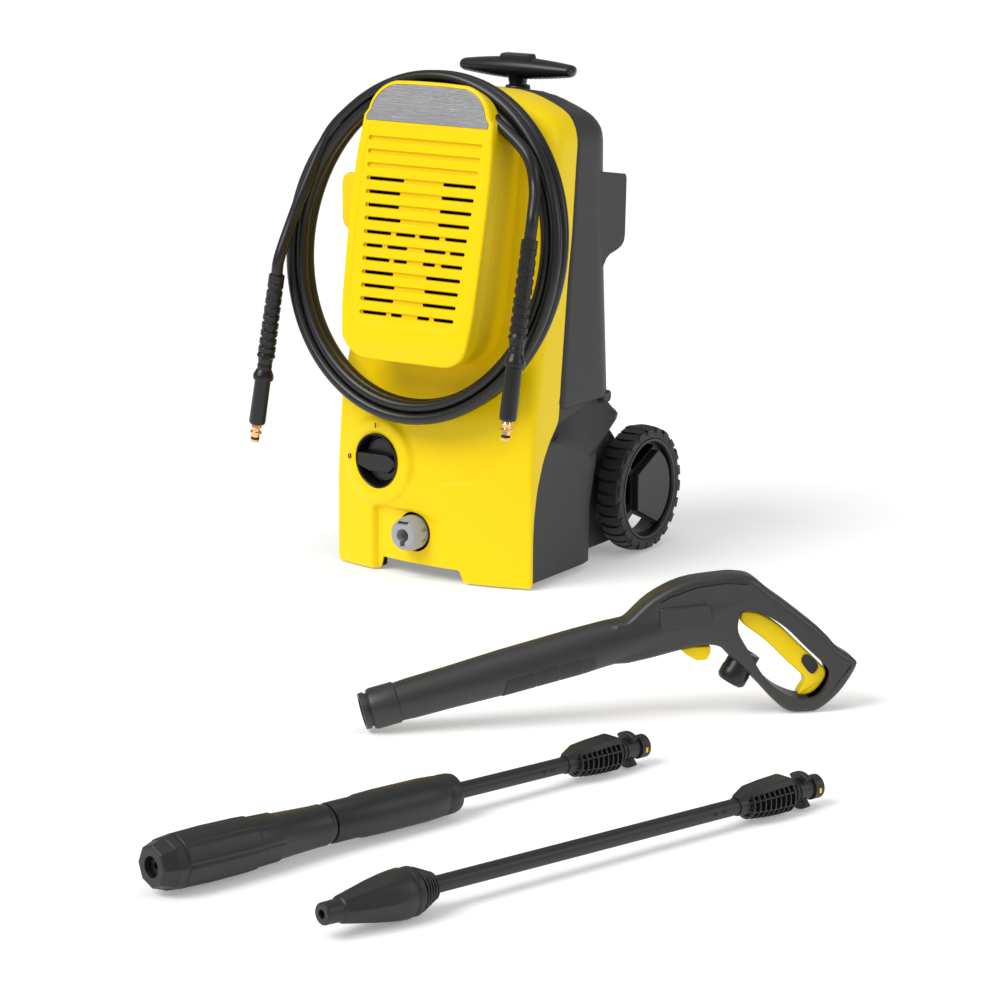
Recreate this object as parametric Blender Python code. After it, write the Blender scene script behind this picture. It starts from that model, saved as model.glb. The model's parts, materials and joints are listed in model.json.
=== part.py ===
"""Upright home pressure washer with its coiled hose, spray gun and two lances.

Run with: blender --background --python part.py

Everything is drawn in millimetres in the machine's own frame and converted to metres in add_object.
Machine frame: X to the viewer's right, Y to the rear, Z up, zero in the middle of the front edge at
the floor. At the end everything is moved so that the ground area of the machine, gun and lances is
centred on the world origin.
"""

import math

import bmesh
import bpy
from mathutils import Matrix, Vector

for old in list(bpy.data.objects):
    bpy.data.objects.remove(old, do_unlink=True)

# ---------------------------------------------------------------- driving dimensions, millimetres
MM = 0.001
GAP = 0.3                     # clearance between touching pieces
WALL = 3.0                    # moulded wall thickness
SIDES = 16                    # sides of a small turned piece
SIDES_LARGE = 28              # sides of a wheel or a large bore

BODY_HALF = 137.0             # half width of the body at its base
BODY_HALF_TOP = 130.0         # half width of the tower
BODY_TOP = 568.0
BODY_REAR = 195.0
FRONT_RADIUS = 448.0          # plan radius of the bulged front
ARCH_RADIUS = 48.0            # rounding of the top, seen from the front
FRONT_ROUND = 14.0            # rounding of the top's front edge
REAR_ROUND = 24.0             # rounding of the top's rear edge
REAR_HALF_LINE = [(470, 130), (516, 124), (534, 113), (546, 95), (555, 70), (562, 48), (568, 36)]
REAR_CORNER = 47.0            # plan radius of the tower's rear corners

# centre line of the front and the seam between yellow and dark shells: (height, Y)
FRONT_LINE = [(0, -20), (120, -20), (200, -17), (250, -8), (300, 2), (400, 16), (500, 32), (554, 44)]
SEAM_LINE = [(-20, 9), (88, 9), (118, 14), (161, 31), (179, 52), (210, 61), (236, 63), (355, 80),
             (402, 91), (486, 96), (517, 96), (600, 90)]
LEDGE_LINE = [(52, 179), (159, 197), (200, 203)]          # top of the wheel fairing: (Y, height)

COVER_TILT = 0.21             # the cover leans forward towards its foot, Y per unit of height
COVER_FACE_Y = -131.5         # Y of the cover's face plane at floor height
COVER_BOTTOM = 266.0
COVER_TOP = 587.0
COVER_DEPTH = 24.0
SLOT_ROWS = 14
SLOT_FIRST = 518.6            # height of the first row
SLOT_PITCH = 15.23
COLUMN_REACH = 150.0          # arched top and foot, from the coil's centre height
DUCT_INSET = 16.0

COIL_CENTRE = (-11.0, -6.0, 393.5)
COIL_TILT = 0.2               # the coil leans back with the front, Y per unit of height
COIL_OUTER = 204.0
COIL_INNER = 177.0
COIL_DEPTH = 30.0
COIL_SQUEEZE = 0.925          # the hanging coil is a little narrower than it is tall
HOSE_RADIUS = 7.0
# the hose's free ends: X, distance in front of the coil's plane, and height
HOSE_TAILS = {
    "left": [(-170, 25, 450), (-184, 27, 410), (-190.5, 31, 380), (-193.6, 33.3, 350), (-196.4, 30.1, 334)],
    "right": [(123, 25, 520), (143, 27, 480), (153, 29, 450), (155.1, 40.5, 423), (154.5, 40.14, 407.2)],
}
# top and foot of the sleeves on the hose's ends
HOSE_SLEEVES = {
    "left": ((-193.6, -48, 350), (-226, -48, 166)),
    "right": ((155, -41, 421), (148, -77, 217)),
}
SLEEVE_BORE = HOSE_RADIUS + 1.0
SLEEVE_BEND = 9.8             # radius of the bend relief and of the grip below the collar
SLEEVE_COLLAR = 12.4
NIPPLE_DEPTH = 40.0           # length of the nipple inside the sleeve
NIPPLE_LENGTH = 24.0          # length of the nipple outside it
NIPPLE_CORE = 4.7
NIPPLE_FLANGE = 7.4

DIAL_CENTRE = (-70.0, 134.0)  # X and height on the front
DIAL_TURN = math.radians(9)   # the bulged front faces a little to the left here
DIAL_RADIUS = 33.0
OUTLET_CENTRE = (-16.0, 55.0)
OUTLET_RADIUS = 29.0

WHEEL_RADIUS = 76.6
WHEEL_Y = 239.0
WHEEL_OUTER = 153.0
WHEEL_WIDTH = 33.5
RIM_RADIUS = 62.0
AXLE_RADIUS = 5.0

HANDLE_Y = 179.0
HANDLE_TUBE = 8.5
GRIP_HEIGHT = 588.0
GRIP_HALF = 80.0

MOTOR_Y = 98.0
SCREW_PLACES = [(-70, 500), (70, 500)]                    # X and height of the rear shell's screws

COUPLING_LENGTH = 96.0        # from a lance's tube to the middle of its bayonet

GUN_FOOT = (326.4, -556.8)    # the muzzle's contact with the floor
GUN_TURN = math.radians(42.8)
GUN_SLOPE = math.atan(0.237)  # the barrel rises to the rear
GUN_THICKNESS = 34.0
GUN_LIFT = 3.2                # the muzzle and the grip's foot touch the floor
GUN_SOCKET = (354, 0, 50)     # along the barrel, across, and up from the floor
GUN_SOCKET_AXIS = (-0.5, 0, -0.86)

VARIO_NOSE = (429.5, -1113.8, 28.2)
VARIO_TAIL = (592.0, -530.0, 18.4)
BLASTER_NOSE = (623.2, -1125.7, 23.8)
BLASTER_TAIL = (800.0, -556.0, 18.4)

# ---------------------------------------------------------------- materials
COLOURS = {
    "yellow": ((0.96, 0.72, 0.0), 0.38, 0.0),
    "dark": ((0.045, 0.045, 0.048), 0.55, 0.0),
    "black": ((0.014, 0.014, 0.015), 0.38, 0.0),
    "hose": ((0.022, 0.022, 0.024), 0.42, 0.0),
    "rubber": ((0.017, 0.017, 0.017), 0.75, 0.0),
    "grey": ((0.32, 0.33, 0.35), 0.45, 0.0),
    "plate": ((0.55, 0.56, 0.58), 0.35, 1.0),
    "steel": ((0.6, 0.6, 0.62), 0.3, 1.0),
    "brass": ((0.72, 0.46, 0.2), 0.3, 1.0),
    "copper": ((0.7, 0.35, 0.2), 0.4, 1.0),
    "cast": ((0.5, 0.5, 0.52), 0.5, 1.0),
}


def material(name):
    colour, roughness, metallic = COLOURS[name]
    found = bpy.data.materials.get(name)
    if found:
        return found
    made = bpy.data.materials.new(name)
    made.use_nodes = True
    shader = made.node_tree.nodes["Principled BSDF"]
    shader.inputs["Base Color"].default_value = (*colour, 1.0)
    shader.inputs["Roughness"].default_value = roughness
    shader.inputs["Metallic"].default_value = metallic
    return made


# ---------------------------------------------------------------- modelling helpers
def add_object(name, bm, colour, origin=(0, 0, 0), smooth=True):
    """Closes the bmesh into an object: millimetres to metres, faces out, origin on its axis."""
    bmesh.ops.transform(bm, matrix=Matrix.Translation(-Vector(origin)), verts=bm.verts)
    bmesh.ops.transform(bm, matrix=Matrix.Scale(MM, 4), verts=bm.verts)
    bmesh.ops.recalc_face_normals(bm, faces=bm.faces)
    mesh = bpy.data.meshes.new(name)
    bm.to_mesh(mesh)
    bm.free()
    mesh.materials.append(material(colour))
    obj = bpy.data.objects.new(name, mesh)
    obj.location = Vector(origin) * MM
    bpy.context.scene.collection.objects.link(obj)
    if smooth:
        mesh.shade_smooth()
        mesh.set_sharp_from_angle(angle=math.radians(35))
    bpy.context.view_layer.update()
    return obj


def boolean(target, tool, operation="DIFFERENCE"):
    """Applies one Boolean and removes its tool."""
    modifier = target.modifiers.new(operation.title(), "BOOLEAN")
    modifier.object = tool
    modifier.operation = operation
    modifier.solver = "EXACT"
    graph = bpy.context.evaluated_depsgraph_get()
    result = bpy.data.meshes.new_from_object(target.evaluated_get(graph))
    target.modifiers.clear()
    old = target.data
    target.data = result
    result.name = old.name
    result.materials.clear()
    result.materials.append(old.materials[0])
    bpy.data.meshes.remove(old)
    bpy.data.objects.remove(tool, do_unlink=True)
    bpy.context.view_layer.update()
    return target


def loft(rings):
    """Bridges closed rings of equally many points and caps both ends."""
    bm = bmesh.new()
    rows = [[bm.verts.new(point) for point in ring] for ring in rings]
    count = len(rows[0])
    for low, high in zip(rows, rows[1:]):
        for i in range(count):
            j = (i + 1) % count
            bm.faces.new((low[i], low[j], high[j], high[i]))
    bm.faces.new(rows[0][::-1])
    bm.faces.new(rows[-1])
    return bm


def prism(outline, low, high, plane="XZ"):
    """Extrudes a closed outline. plane XZ runs along Y, YZ along X, XY along Z."""
    place = {
        "XZ": lambda a, b, c: (a, c, b),
        "YZ": lambda a, b, c: (c, a, b),
        "XY": lambda a, b, c: (a, b, c),
    }[plane]
    return loft([[place(a, b, c) for a, b in outline] for c in (low, high)])


def box(low, high, bevel=0.0):
    bm = prism([(low[0], low[1]), (high[0], low[1]), (high[0], high[1]), (low[0], high[1])],
               low[2], high[2], "XY")
    if bevel:
        bmesh.ops.bevel(bm, geom=bm.edges[:], offset=bevel, segments=2, affect="EDGES")
    return bm


def turned(profile, base=(0, 0, 0), direction=(0, 0, 1), segments=SIDES):
    """Turns (radius, height) points about an axis; a profile off the axis makes a closed ring."""
    bm = bmesh.new()
    turn = Vector((0, 0, 1)).rotation_difference(Vector(direction).normalized()).to_matrix()
    rows = []
    for radius, height in profile:
        steps = 1 if radius == 0 else segments
        row = []
        for i in range(steps):
            angle = 2 * math.pi * i / segments
            point = Vector((radius * math.cos(angle), radius * math.sin(angle), height))
            row.append(bm.verts.new(Vector(base) + turn @ point))
        rows.append(row)
    pairs = list(zip(rows, rows[1:]))
    if profile[0][0] != 0:
        pairs.append((rows[-1], rows[0]))
    for low, high in pairs:
        for i in range(segments):
            j = (i + 1) % segments
            if len(low) == 1 and len(high) == 1:
                break
            if len(low) == 1:
                bm.faces.new((low[0], high[j], high[i]))
            elif len(high) == 1:
                bm.faces.new((low[i], low[j], high[0]))
            else:
                bm.faces.new((low[i], low[j], high[j], high[i]))
    return bm


def cylinder(radius, low, high, base=(0, 0, 0), direction=(0, 0, 1), segments=SIDES):
    return turned([(0, low), (radius, low), (radius, high), (0, high)], base, direction, segments)


def pipe(outer, inner, low, high, base=(0, 0, 0), direction=(0, 0, 1), segments=SIDES):
    return turned([(inner, low), (outer, low), (outer, high), (inner, high)], base, direction, segments)


def arc(cx, cy, radius, start, end, steps):
    """Points on an arc, angles in degrees."""
    points = []
    for i in range(steps + 1):
        angle = math.radians(start + (end - start) * i / steps)
        points.append((cx + radius * math.cos(angle), cy + radius * math.sin(angle)))
    return points


def between(table, value):
    """Straight interpolation in a table of (key, result) pairs."""
    if value <= table[0][0]:
        return table[0][1]
    for (k0, r0), (k1, r1) in zip(table, table[1:]):
        if value <= k1:
            return r0 + (r1 - r0) * (value - k0) / (k1 - k0)
    return table[-1][1]


def smooth_path(points, steps):
    """Catmull-Rom curve through the route's points."""
    ends = [2 * Vector(points[0]) - Vector(points[1]), *map(Vector, points),
            2 * Vector(points[-1]) - Vector(points[-2])]
    path = []
    for a, b, c, d in zip(ends, ends[1:], ends[2:], ends[3:]):
        for i in range(steps):
            t = i / steps
            path.append(0.5 * (2 * b + (c - a) * t + (2 * a - 5 * b + 4 * c - d) * t ** 2
                               + (3 * b - a - 3 * c + d) * t ** 3))
    path.append(Vector(points[-1]))
    return path


def tube(name, points, radius, colour, steps=3, resolution=2):
    """A bent tube with filled ends, as a curve object."""
    curve = bpy.data.curves.new(name, "CURVE")
    curve.dimensions = "3D"
    curve.bevel_depth = radius * MM
    curve.bevel_resolution = resolution
    curve.use_fill_caps = True
    path = smooth_path(points, steps)
    spline = curve.splines.new("POLY")
    spline.points.add(len(path) - 1)
    for point, place in zip(spline.points, path):
        point.co = (*(place * MM), 1.0)
    curve.materials.append(material(colour))
    obj = bpy.data.objects.new(name, curve)
    bpy.context.scene.collection.objects.link(obj)
    bpy.context.view_layer.update()
    return obj


# ---------------------------------------------------------------- the body's form
def half_width(z):
    straight = BODY_HALF - (BODY_HALF - BODY_HALF_TOP) * min(max((z - 200) / 200, 0), 1)
    rise = max(z - (BODY_TOP - ARCH_RADIUS), 0)
    return straight - ARCH_RADIUS + math.sqrt(max(ARCH_RADIUS ** 2 - rise ** 2, 0))


def edge_round(z, radius):
    rise = max(z - (BODY_TOP - radius), 0)
    return radius - math.sqrt(max(radius ** 2 - rise ** 2, 0))


def body_section(z, height, inset):
    """Plan outline of the body at one height, drawn at another and moved in by the wall."""
    half = half_width(z) - inset
    front = between(FRONT_LINE, z) + edge_round(z, FRONT_ROUND) + inset
    rear = BODY_REAR - edge_round(z, REAR_ROUND) - inset
    corner = max(6 + 24 * min(max((z - 100) / 400, 0), 1) - inset, 3)
    rear_half = min(between(REAR_HALF_LINE, z), half_width(z)) - inset
    back_corner = min(REAR_CORNER - inset, rear_half * 0.8)
    flat = half - corner
    outline = [(x, front + x * x / (2 * FRONT_RADIUS)) for x in
               [flat * (i / 3 - 1) for i in range(7)]]
    shoulder = front + flat * flat / (2 * FRONT_RADIUS) + corner
    outline += arc(flat, shoulder, corner, -72, 0, 3)
    outline += arc(rear_half - back_corner, rear - back_corner, back_corner, 0, 90, 4)
    outline += arc(back_corner - rear_half, rear - back_corner, back_corner, 90, 180, 4)
    outline += arc(-flat, shoulder, corner, 180, 252, 3)
    return [(x, y, height) for x, y in outline]


OUTER_LEVELS = [0, 120, 200, 250, 300, 400, 500, 520, 538, 550, 558, 564, 568]


def body_solid(inset, bottom):
    """The whole body as one solid, inset by a wall."""
    rings = []
    for z in OUTER_LEVELS:
        height = z - inset * min(max((z - 450) / 100, 0), 1) if z > 0 else bottom
        rings.append(body_section(z, height, inset))
    return loft(rings)


def front_y(x, z):
    """The front's surface at one place."""
    return between(FRONT_LINE, z) + x * x / (2 * FRONT_RADIUS)


def seam_outline(shift, far):
    """The region on one side of the seam, as a YZ outline."""
    points = [(y + shift, z) for z, y in SEAM_LINE]
    return points + [(far, SEAM_LINE[-1][0]), (far, SEAM_LINE[0][0])]


def region(name, outline):
    return add_object(name, prism(outline, -220, 220, "YZ"), "dark", smooth=False)


def body_skin(name, colour):
    skin = add_object(name, body_solid(0, 2), colour)
    return boolean(skin, add_object("hollow", body_solid(WALL, -6), colour))


# ---------------------------------------------------------------- front shell
def cover_outline(inset=0.0, top=COVER_TOP, bottom=COVER_BOTTOM):
    """Front view of the louvred cover: a tall shield, widest below its middle."""
    widths = [(290, 85), (320, 92), (420, 95), (500, 94), (541, 89)]
    right = arc(52, bottom + 37, 37 - inset, -90, -15, 5)
    right[0] = (40, bottom + inset)
    right += [(between(widths, z) - inset, z) for z in (330, 380, 430, 480, 520, 545)]
    right += arc(42, top - 43, 43 - inset, 10, 80, 5)
    right.append((20, top - inset))
    left = [(-x, z) for x, z in reversed(right)]
    return right + left


def column_outline(inset):
    """Front view of the hose column: it fills the coil, with flat sides."""
    reach = COLUMN_REACH - inset
    side = 91 - inset
    corner = math.degrees(math.acos(side / reach))
    top = arc(0, COIL_CENTRE[2], reach, corner, 180 - corner, 8)
    low = arc(0, COIL_CENTRE[2], reach, 180 + corner, 360 - corner, 8)
    return top + low


def cover_face_y(z):
    return COVER_FACE_Y + COVER_TILT * z


def make_front_shell():
    shell = body_skin("front_shell", "yellow")
    boolean(shell, region("front_region", seam_outline(0, -90)), "INTERSECT")
    arch = box((-70, -60, -10), (52, 200, 17), 0)
    boolean(shell, add_object("arch", arch, "yellow"))
    hole = cylinder(OUTLET_RADIUS, -60, 20, (OUTLET_CENTRE[0], 0, OUTLET_CENTRE[1]), (0, 1, 0))
    boolean(shell, add_object("outlet_hole", hole, "yellow"))
    dial = cylinder(DIAL_RADIUS + GAP, -30, 30, dial_point(0), dial_normal(), SIDES_LARGE)
    boolean(shell, add_object("dial_hole", dial, "yellow"))
    duct = prism(column_outline(DUCT_INSET), -60, 70)
    boolean(shell, add_object("duct_hole", duct, "yellow"))
    return shell


def make_hose_column():
    """The tunnel between body and cover that the hose hangs on, with its retaining tab."""
    column = add_object("hose_column", prism(column_outline(0), -80, 80), "yellow")
    boolean(column, add_object("bore", prism(column_outline(WALL), -90, 90), "yellow"))
    boolean(column, add_object("body", body_solid(-GAP, -20), "yellow"))
    behind = prism([(-80, COVER_BOTTOM - 60), (-80, 600), (cover_back_y(600) + GAP, 600),
                    (cover_back_y(200) + GAP, 200)], -120, 120, "YZ")
    boolean(column, add_object("cover_side", behind, "yellow"))
    low = [(p, z) for p, z in ((-100, 100), (-100, 272), (-62, 272), (0, 246), (0, 100))]
    boolean(column, add_object("underside", prism(low, -120, 120, "YZ"), "yellow"))
    behind_body = box((-120, 60, 200), (120, 120, 600))
    boolean(column, add_object("behind_body", behind_body, "yellow"))
    tab = box((-128, -4, 410), (-90, 2, 476), 1.5)
    boolean(column, add_object("tab", tab, "yellow"), "UNION")
    return column


def cover_back_y(z):
    return cover_face_y(z) + COVER_DEPTH


def sheared(bm):
    """Leans a prism drawn from Y = 0 into the cover's plane."""
    for vert in bm.verts:
        vert.co.y += cover_face_y(vert.co.z)
    return bm


def slot(x0, x1, z, height=5.2):
    half = height / 2
    outline = arc(x1 - half, z, half, -90, 90, 2) + arc(x0 + half, z, half, 90, 270, 2)
    return sheared(prism(outline, -5, WALL + 6))


def slot_half(z):
    """Half length of a slot row at one height."""
    return 65.4 + (79 - 65.4) * (z - 320.6) / (SLOT_FIRST - 320.6)


def make_cover():
    cover = add_object("front_cover", sheared(prism(cover_outline(), 0, COVER_DEPTH)), "yellow")
    hollow = sheared(prism(cover_outline(WALL), WALL, COVER_DEPTH + 10))
    boolean(cover, add_object("hollow", hollow, "yellow"))
    for row in range(3, SLOT_ROWS):
        z = SLOT_FIRST - SLOT_PITCH * row
        reach = slot_half(z)
        for side in (-1, 1):
            ends = sorted((side * reach, side * 22))
            boolean(cover, add_object("slot", slot(*ends, z), "yellow"))
    plate = cover_outline(5)
    floor = 541
    rim = [(x, max(z, floor)) for x, z in plate if z > 500]
    seat = sheared(prism(rim, -2, 1.6))
    boolean(cover, add_object("plate_seat", seat, "yellow"))
    return cover


def make_badge_plate():
    plate = cover_outline(5 + GAP)
    floor = 541 + GAP
    rim = [(x, max(z, floor)) for x, z in plate if z > 500]
    return add_object("badge_plate", sheared(prism(rim, 0.2, 1.3)), "plate")


# ---------------------------------------------------------------- dark shells
def make_rear_shell():
    """Tower behind the seam and above the wheel fairing, with the handle's hole."""
    shell = body_skin("rear_shell", "dark")
    boolean(shell, region("rear_region", seam_outline(GAP, 260)), "INTERSECT")
    ledge = [(y, z + GAP) for y, z in LEDGE_LINE]
    below = [(-60, -20), (-60, 160), (40, 177 + GAP), *ledge, (260, 213), (260, -20)]
    boolean(shell, region("below_ledge", below))
    hole = cylinder(13 + GAP, 500, 600, (0, HANDLE_Y, 0))
    boolean(shell, add_object("handle_hole", hole, "dark"))
    gland = cylinder(8 + GAP, -20, 20, (60, BODY_REAR, 240), (0, 1, 0))
    boolean(shell, add_object("gland_hole", gland, "dark"))
    for x, z in SCREW_PLACES:
        hole = cylinder(2 + GAP, -12, 12, (x, BODY_REAR, z), (0, 1, 0), 12)
        boolean(shell, add_object("screw_hole", hole, "dark"))
    return shell


def side_outline(inset):
    """Side view of the wheel fairing; its rear edge follows the wheel."""
    ahead = -8 if inset else GAP
    points = [(9.5 + ahead, 8 + inset), (109 - inset, 8 + inset), (111 - inset, 87), (127 - inset, 128),
              (132 - inset, 138), (173 - inset, 174), (170 - inset, 190), (159 - inset, 197 - GAP)]
    top = [(52, 179 - GAP)] if not inset else [(150, 230), (52, 230)]
    seam = [(y + ahead, z) for z, y in SEAM_LINE if 80 < z < 170]
    return points + top + seam[::-1]


def tail_outline(inset):
    """Side view of the chassis between the wheels, down to the axle."""
    floor = 12 + inset
    ahead = -8 if inset else GAP
    outline = [(9.5 + ahead, floor), (240 - inset, floor), (258 - inset, 30 + inset), (262 - inset, 80),
               (250 - inset, 112 - inset), (BODY_REAR - inset, 168 - inset)]
    if inset:
        outline += [(BODY_REAR - inset, 230), (52, 230)]
    else:
        outline += [(BODY_REAR - inset, 202 - GAP), (159, 197 - GAP), (52, 179 - GAP)]
    seam = [(y + ahead, z) for z, y in SEAM_LINE if 80 < z < 170]
    return outline + seam[::-1]


def make_chassis():
    """Tub with the floor, the wheel fairings and the axle's walls."""
    chassis = add_object("chassis", prism(side_outline(0), -137, 137, "YZ"), "dark")
    boolean(chassis, add_object("tail", prism(tail_outline(0), -112, 112, "YZ"), "dark"), "UNION")
    front = [(-60, -20), (-60, 300)] + [(y + GAP, z) for z, y in reversed(SEAM_LINE) if z < 230]
    boolean(chassis, region("front_side", front))
    hollow = add_object("hollow", prism(side_outline(WALL), -134, 134, "YZ"), "dark")
    middle = prism(tail_outline(WALL), -109, 109, "YZ")
    boolean(hollow, add_object("middle", middle, "dark"), "UNION")
    boolean(chassis, hollow)
    holes = cylinder(AXLE_RADIUS + GAP, -150, 150, (0, WHEEL_Y, WHEEL_RADIUS), (1, 0, 0))
    boolean(chassis, add_object("axle_holes", holes, "dark"))
    inlet = cylinder(15 + GAP, -30, 30, (-60, 262, 46), (0, 1, 0))
    boolean(chassis, add_object("inlet_hole", inlet, "dark"))
    return chassis


def make_holder(name, side):
    """Pocket behind the tower's corner that a lance or the gun drops into."""
    x0, x1 = sorted((side * 100, side * 129.6))
    outline = [(150, 352), (166, 358), (180, 371), (208, 377), (214, 386), (217.5, 459), (210, 469), (150, 476)]
    holder = add_object(name, prism(outline, x0, x1, "YZ"), "dark")
    boolean(holder, add_object("body", body_solid(-GAP, -20), "dark"))
    pocket = box((x0 + 4, 193, 392), (x1 - 4, 213, 480))
    boolean(holder, add_object("pocket", pocket, "dark"))
    keep_rear = box((x0 - 10, 100, 300), (x1 + 10, 172, 500))
    boolean(holder, add_object("inside", keep_rear, "dark"))
    return holder


# ---------------------------------------------------------------- dial, outlet, inlet
def dial_normal():
    return Vector((-math.sin(DIAL_TURN), -math.cos(DIAL_TURN), 0))


def dial_point(out):
    """A point on the dial's axis, measured outwards from the front's surface."""
    x, z = DIAL_CENTRE
    return Vector((x, front_y(x, z), z)) + dial_normal() * out


def make_dial():
    normal = dial_normal()
    centre = dial_point(0)
    bezel = turned([(4.3, -17), (DIAL_RADIUS, -17), (DIAL_RADIUS, 1.5), (DIAL_RADIUS - 2.5, 1.5),
                    (DIAL_RADIUS - 3, -14), (4.3, -14)], centre, normal, SIDES_LARGE)
    add_object("dial_bezel", bezel, "black", centre)
    disc = turned([(0, -13.5), (DIAL_RADIUS - 4, -13.5), (DIAL_RADIUS - 4, -9), (DIAL_RADIUS - 6, -7),
                   (0, -7)], centre, normal, SIDES_LARGE)
    knob = add_object("dial_knob", disc, "black", centre)
    stem = cylinder(4, -30, -12, centre, normal, 16)
    boolean(knob, add_object("stem", stem, "black", centre), "UNION")
    bar = box((-27, -9.5, -9), (22, 9.5, 12), 3)
    across = Matrix((Vector((math.cos(DIAL_TURN), -math.sin(DIAL_TURN), 0)), Vector((0, 0, 1)),
                     normal)).transposed().to_4x4()
    bmesh.ops.transform(bar, matrix=Matrix.Translation(centre) @ across, verts=bar.verts)
    boolean(knob, add_object("bar", bar, "black", centre), "UNION")
    switch = turned([(4.3, -48), (23, -48), (23, -17.3), (4.3, -17.3)], centre, normal, 20)
    add_object("switch_box", switch, "dark", centre)


def make_outlet():
    x, z = OUTLET_CENTRE
    front = front_y(x, z)
    base = (x, front, z)
    housing = turned([(10, 46), (OUTLET_RADIUS - GAP, 46), (OUTLET_RADIUS - GAP, 1), (24, 1), (24, 38),
                      (10, 38)], base, (0, 1, 0))
    add_object("outlet_housing", housing, "black", base)
    collar = turned([(6.5, 34), (21, 34), (23.5, 4), (23.5, -12), (21.5, -19), (16, -22), (6.5, -22)],
                    base, (0, 1, 0))
    release = add_object("outlet_release", collar, "grey", base)
    key = box((x - 3, front - 40, z - 11), (x + 3, front + 60, z - 4))
    boolean(release, add_object("keyway", key, "grey"))


def make_inlet():
    base = (-60, 266.3, 46)
    body = turned([(6.5, -22), (15, -22), (15, -4), (20, -4), (20, 0), (13, 0), (13, 24), (10, 24),
                   (10, 6), (6.5, 6)], base, (0, 1, 0))
    add_object("water_inlet", body, "black", base)
    gland = turned([(4.5, -8), (7.7, -8), (7.7, GAP), (11, GAP), (10, 10), (4.5, 10)], (60, BODY_REAR, 240),
                   (0, 1, 0))
    add_object("cable_gland", gland, "rubber", (60, BODY_REAR, 240))


# ---------------------------------------------------------------- handle
def make_handle():
    guide = turned([(HANDLE_TUBE + 0.4, 90), (10.7, 90), (10.7, 545), (13, 547), (13, 573),
                    (HANDLE_TUBE + 0.4, 573)], (0, HANDLE_Y, 0))
    add_object("handle_guide", guide, "black", (0, HANDLE_Y, 0))
    bar = pipe(HANDLE_TUBE, HANDLE_TUBE - 1.5, 180, 578, (0, HANDLE_Y, 0))
    add_object("handle_tube", bar, "steel", (0, HANDLE_Y, 0))
    rings = []
    steps = 8
    for i in range(steps + 1):
        x = GRIP_HALF * (2 * i / steps - 1)
        share = abs(x) / GRIP_HALF
        tall = 12.4 * (1 - 0.45 * share ** 1.6) * (1 if share < 0.99 else 0.6)
        deep = 15.5 * (1 - 0.35 * share ** 2) * (1 if share < 0.99 else 0.6)
        ring = []
        for k in range(12):
            angle = 2 * math.pi * k / 12
            ring.append((x, HANDLE_Y + deep * math.cos(angle), GRIP_HEIGHT + tall * math.sin(angle)))
        rings.append(ring)
    grip = add_object("handle_grip", loft(rings), "black", (0, HANDLE_Y, GRIP_HEIGHT))
    neck = cylinder(11.5, 573.5, 590, (0, HANDLE_Y, 0))
    boolean(grip, add_object("neck", neck, "black", (0, HANDLE_Y, GRIP_HEIGHT)), "UNION")
    seat = cylinder(HANDLE_TUBE + GAP, 560, 578 + GAP, (0, HANDLE_Y, 0))
    boolean(grip, add_object("tube_seat", seat, "black"))
    pocket = box((-25, HANDLE_Y - 10, 591), (25, HANDLE_Y + 10, 620))
    boolean(grip, add_object("button_pocket", pocket, "black"))
    button = box((-25 + GAP, HANDLE_Y - 10 + GAP, 595), (25 - GAP, HANDLE_Y + 10 - GAP, 607), 1.5)
    add_object("handle_button", button, "black", (0, HANDLE_Y, 607))


# ---------------------------------------------------------------- wheels
def wheel_opening(angle):
    """Curved gap in the wheel disc near the rim, between two arms."""
    outline = arc(0, 0, 52, angle - 42, angle + 42, 4) + arc(0, 0, 40, angle + 30, angle - 30, 3)
    return [(WHEEL_Y + a, WHEEL_RADIUS + b) for a, b in outline]


def make_wheel(side, label):
    centre = (side * (WHEEL_OUTER - WHEEL_WIDTH / 2), WHEEL_Y, WHEEL_RADIUS)
    half = WHEEL_WIDTH / 2
    tyre = turned([(RIM_RADIUS + GAP, -half + 2), (WHEEL_RADIUS - 5, -half), (WHEEL_RADIUS, -half + 5),
                   (WHEEL_RADIUS, half - 5), (WHEEL_RADIUS - 5, half), (RIM_RADIUS + GAP, half - 2)],
                  centre, (1, 0, 0), SIDES_LARGE)
    add_object("tyre_" + label, tyre, "rubber", centre)
    out = side * (half - 4)
    face = sorted((out, out - side * 9))
    hub = sorted((side * (half - 4), -side * (half - 1)))
    bore = AXLE_RADIUS + GAP
    if side > 0:
        profile = [(bore, hub[0]), (11, hub[0]), (11, face[0]), (56, face[0]), (56, -half + 3),
                   (RIM_RADIUS, -half + 3), (RIM_RADIUS, half - 2), (57, half - 2), (56, face[1]),
                   (bore, face[1])]
    else:
        profile = [(bore, face[0]), (56, face[0]), (57, -half + 2), (RIM_RADIUS, -half + 2),
                   (RIM_RADIUS, half - 3), (56, half - 3), (56, face[1]), (11, face[1]), (11, hub[1]),
                   (bore, hub[1])]
    disc = add_object("wheel_" + label, turned(profile, centre, (1, 0, 0), SIDES_LARGE), "black", centre)
    for angle in (-90, 30, 150):
        cutter = prism(wheel_opening(angle), centre[0] - 30, centre[0] + 30, "YZ")
        boolean(disc, add_object("opening", cutter, "black"))


def make_axle():
    centre = (0, WHEEL_Y, WHEEL_RADIUS)
    reach = WHEEL_OUTER - 3
    axle = cylinder(AXLE_RADIUS, -reach, reach, centre, (1, 0, 0))
    add_object("axle", axle, "steel", centre)
    inside = WHEEL_OUTER - WHEEL_WIDTH
    for label, low in (("left", 1.2 - inside), ("right", inside - 4)):
        clip = pipe(9, AXLE_RADIUS + GAP, low, low + 2.8, centre, (1, 0, 0))
        add_object("axle_clip_" + label, clip, "steel", centre)


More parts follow.
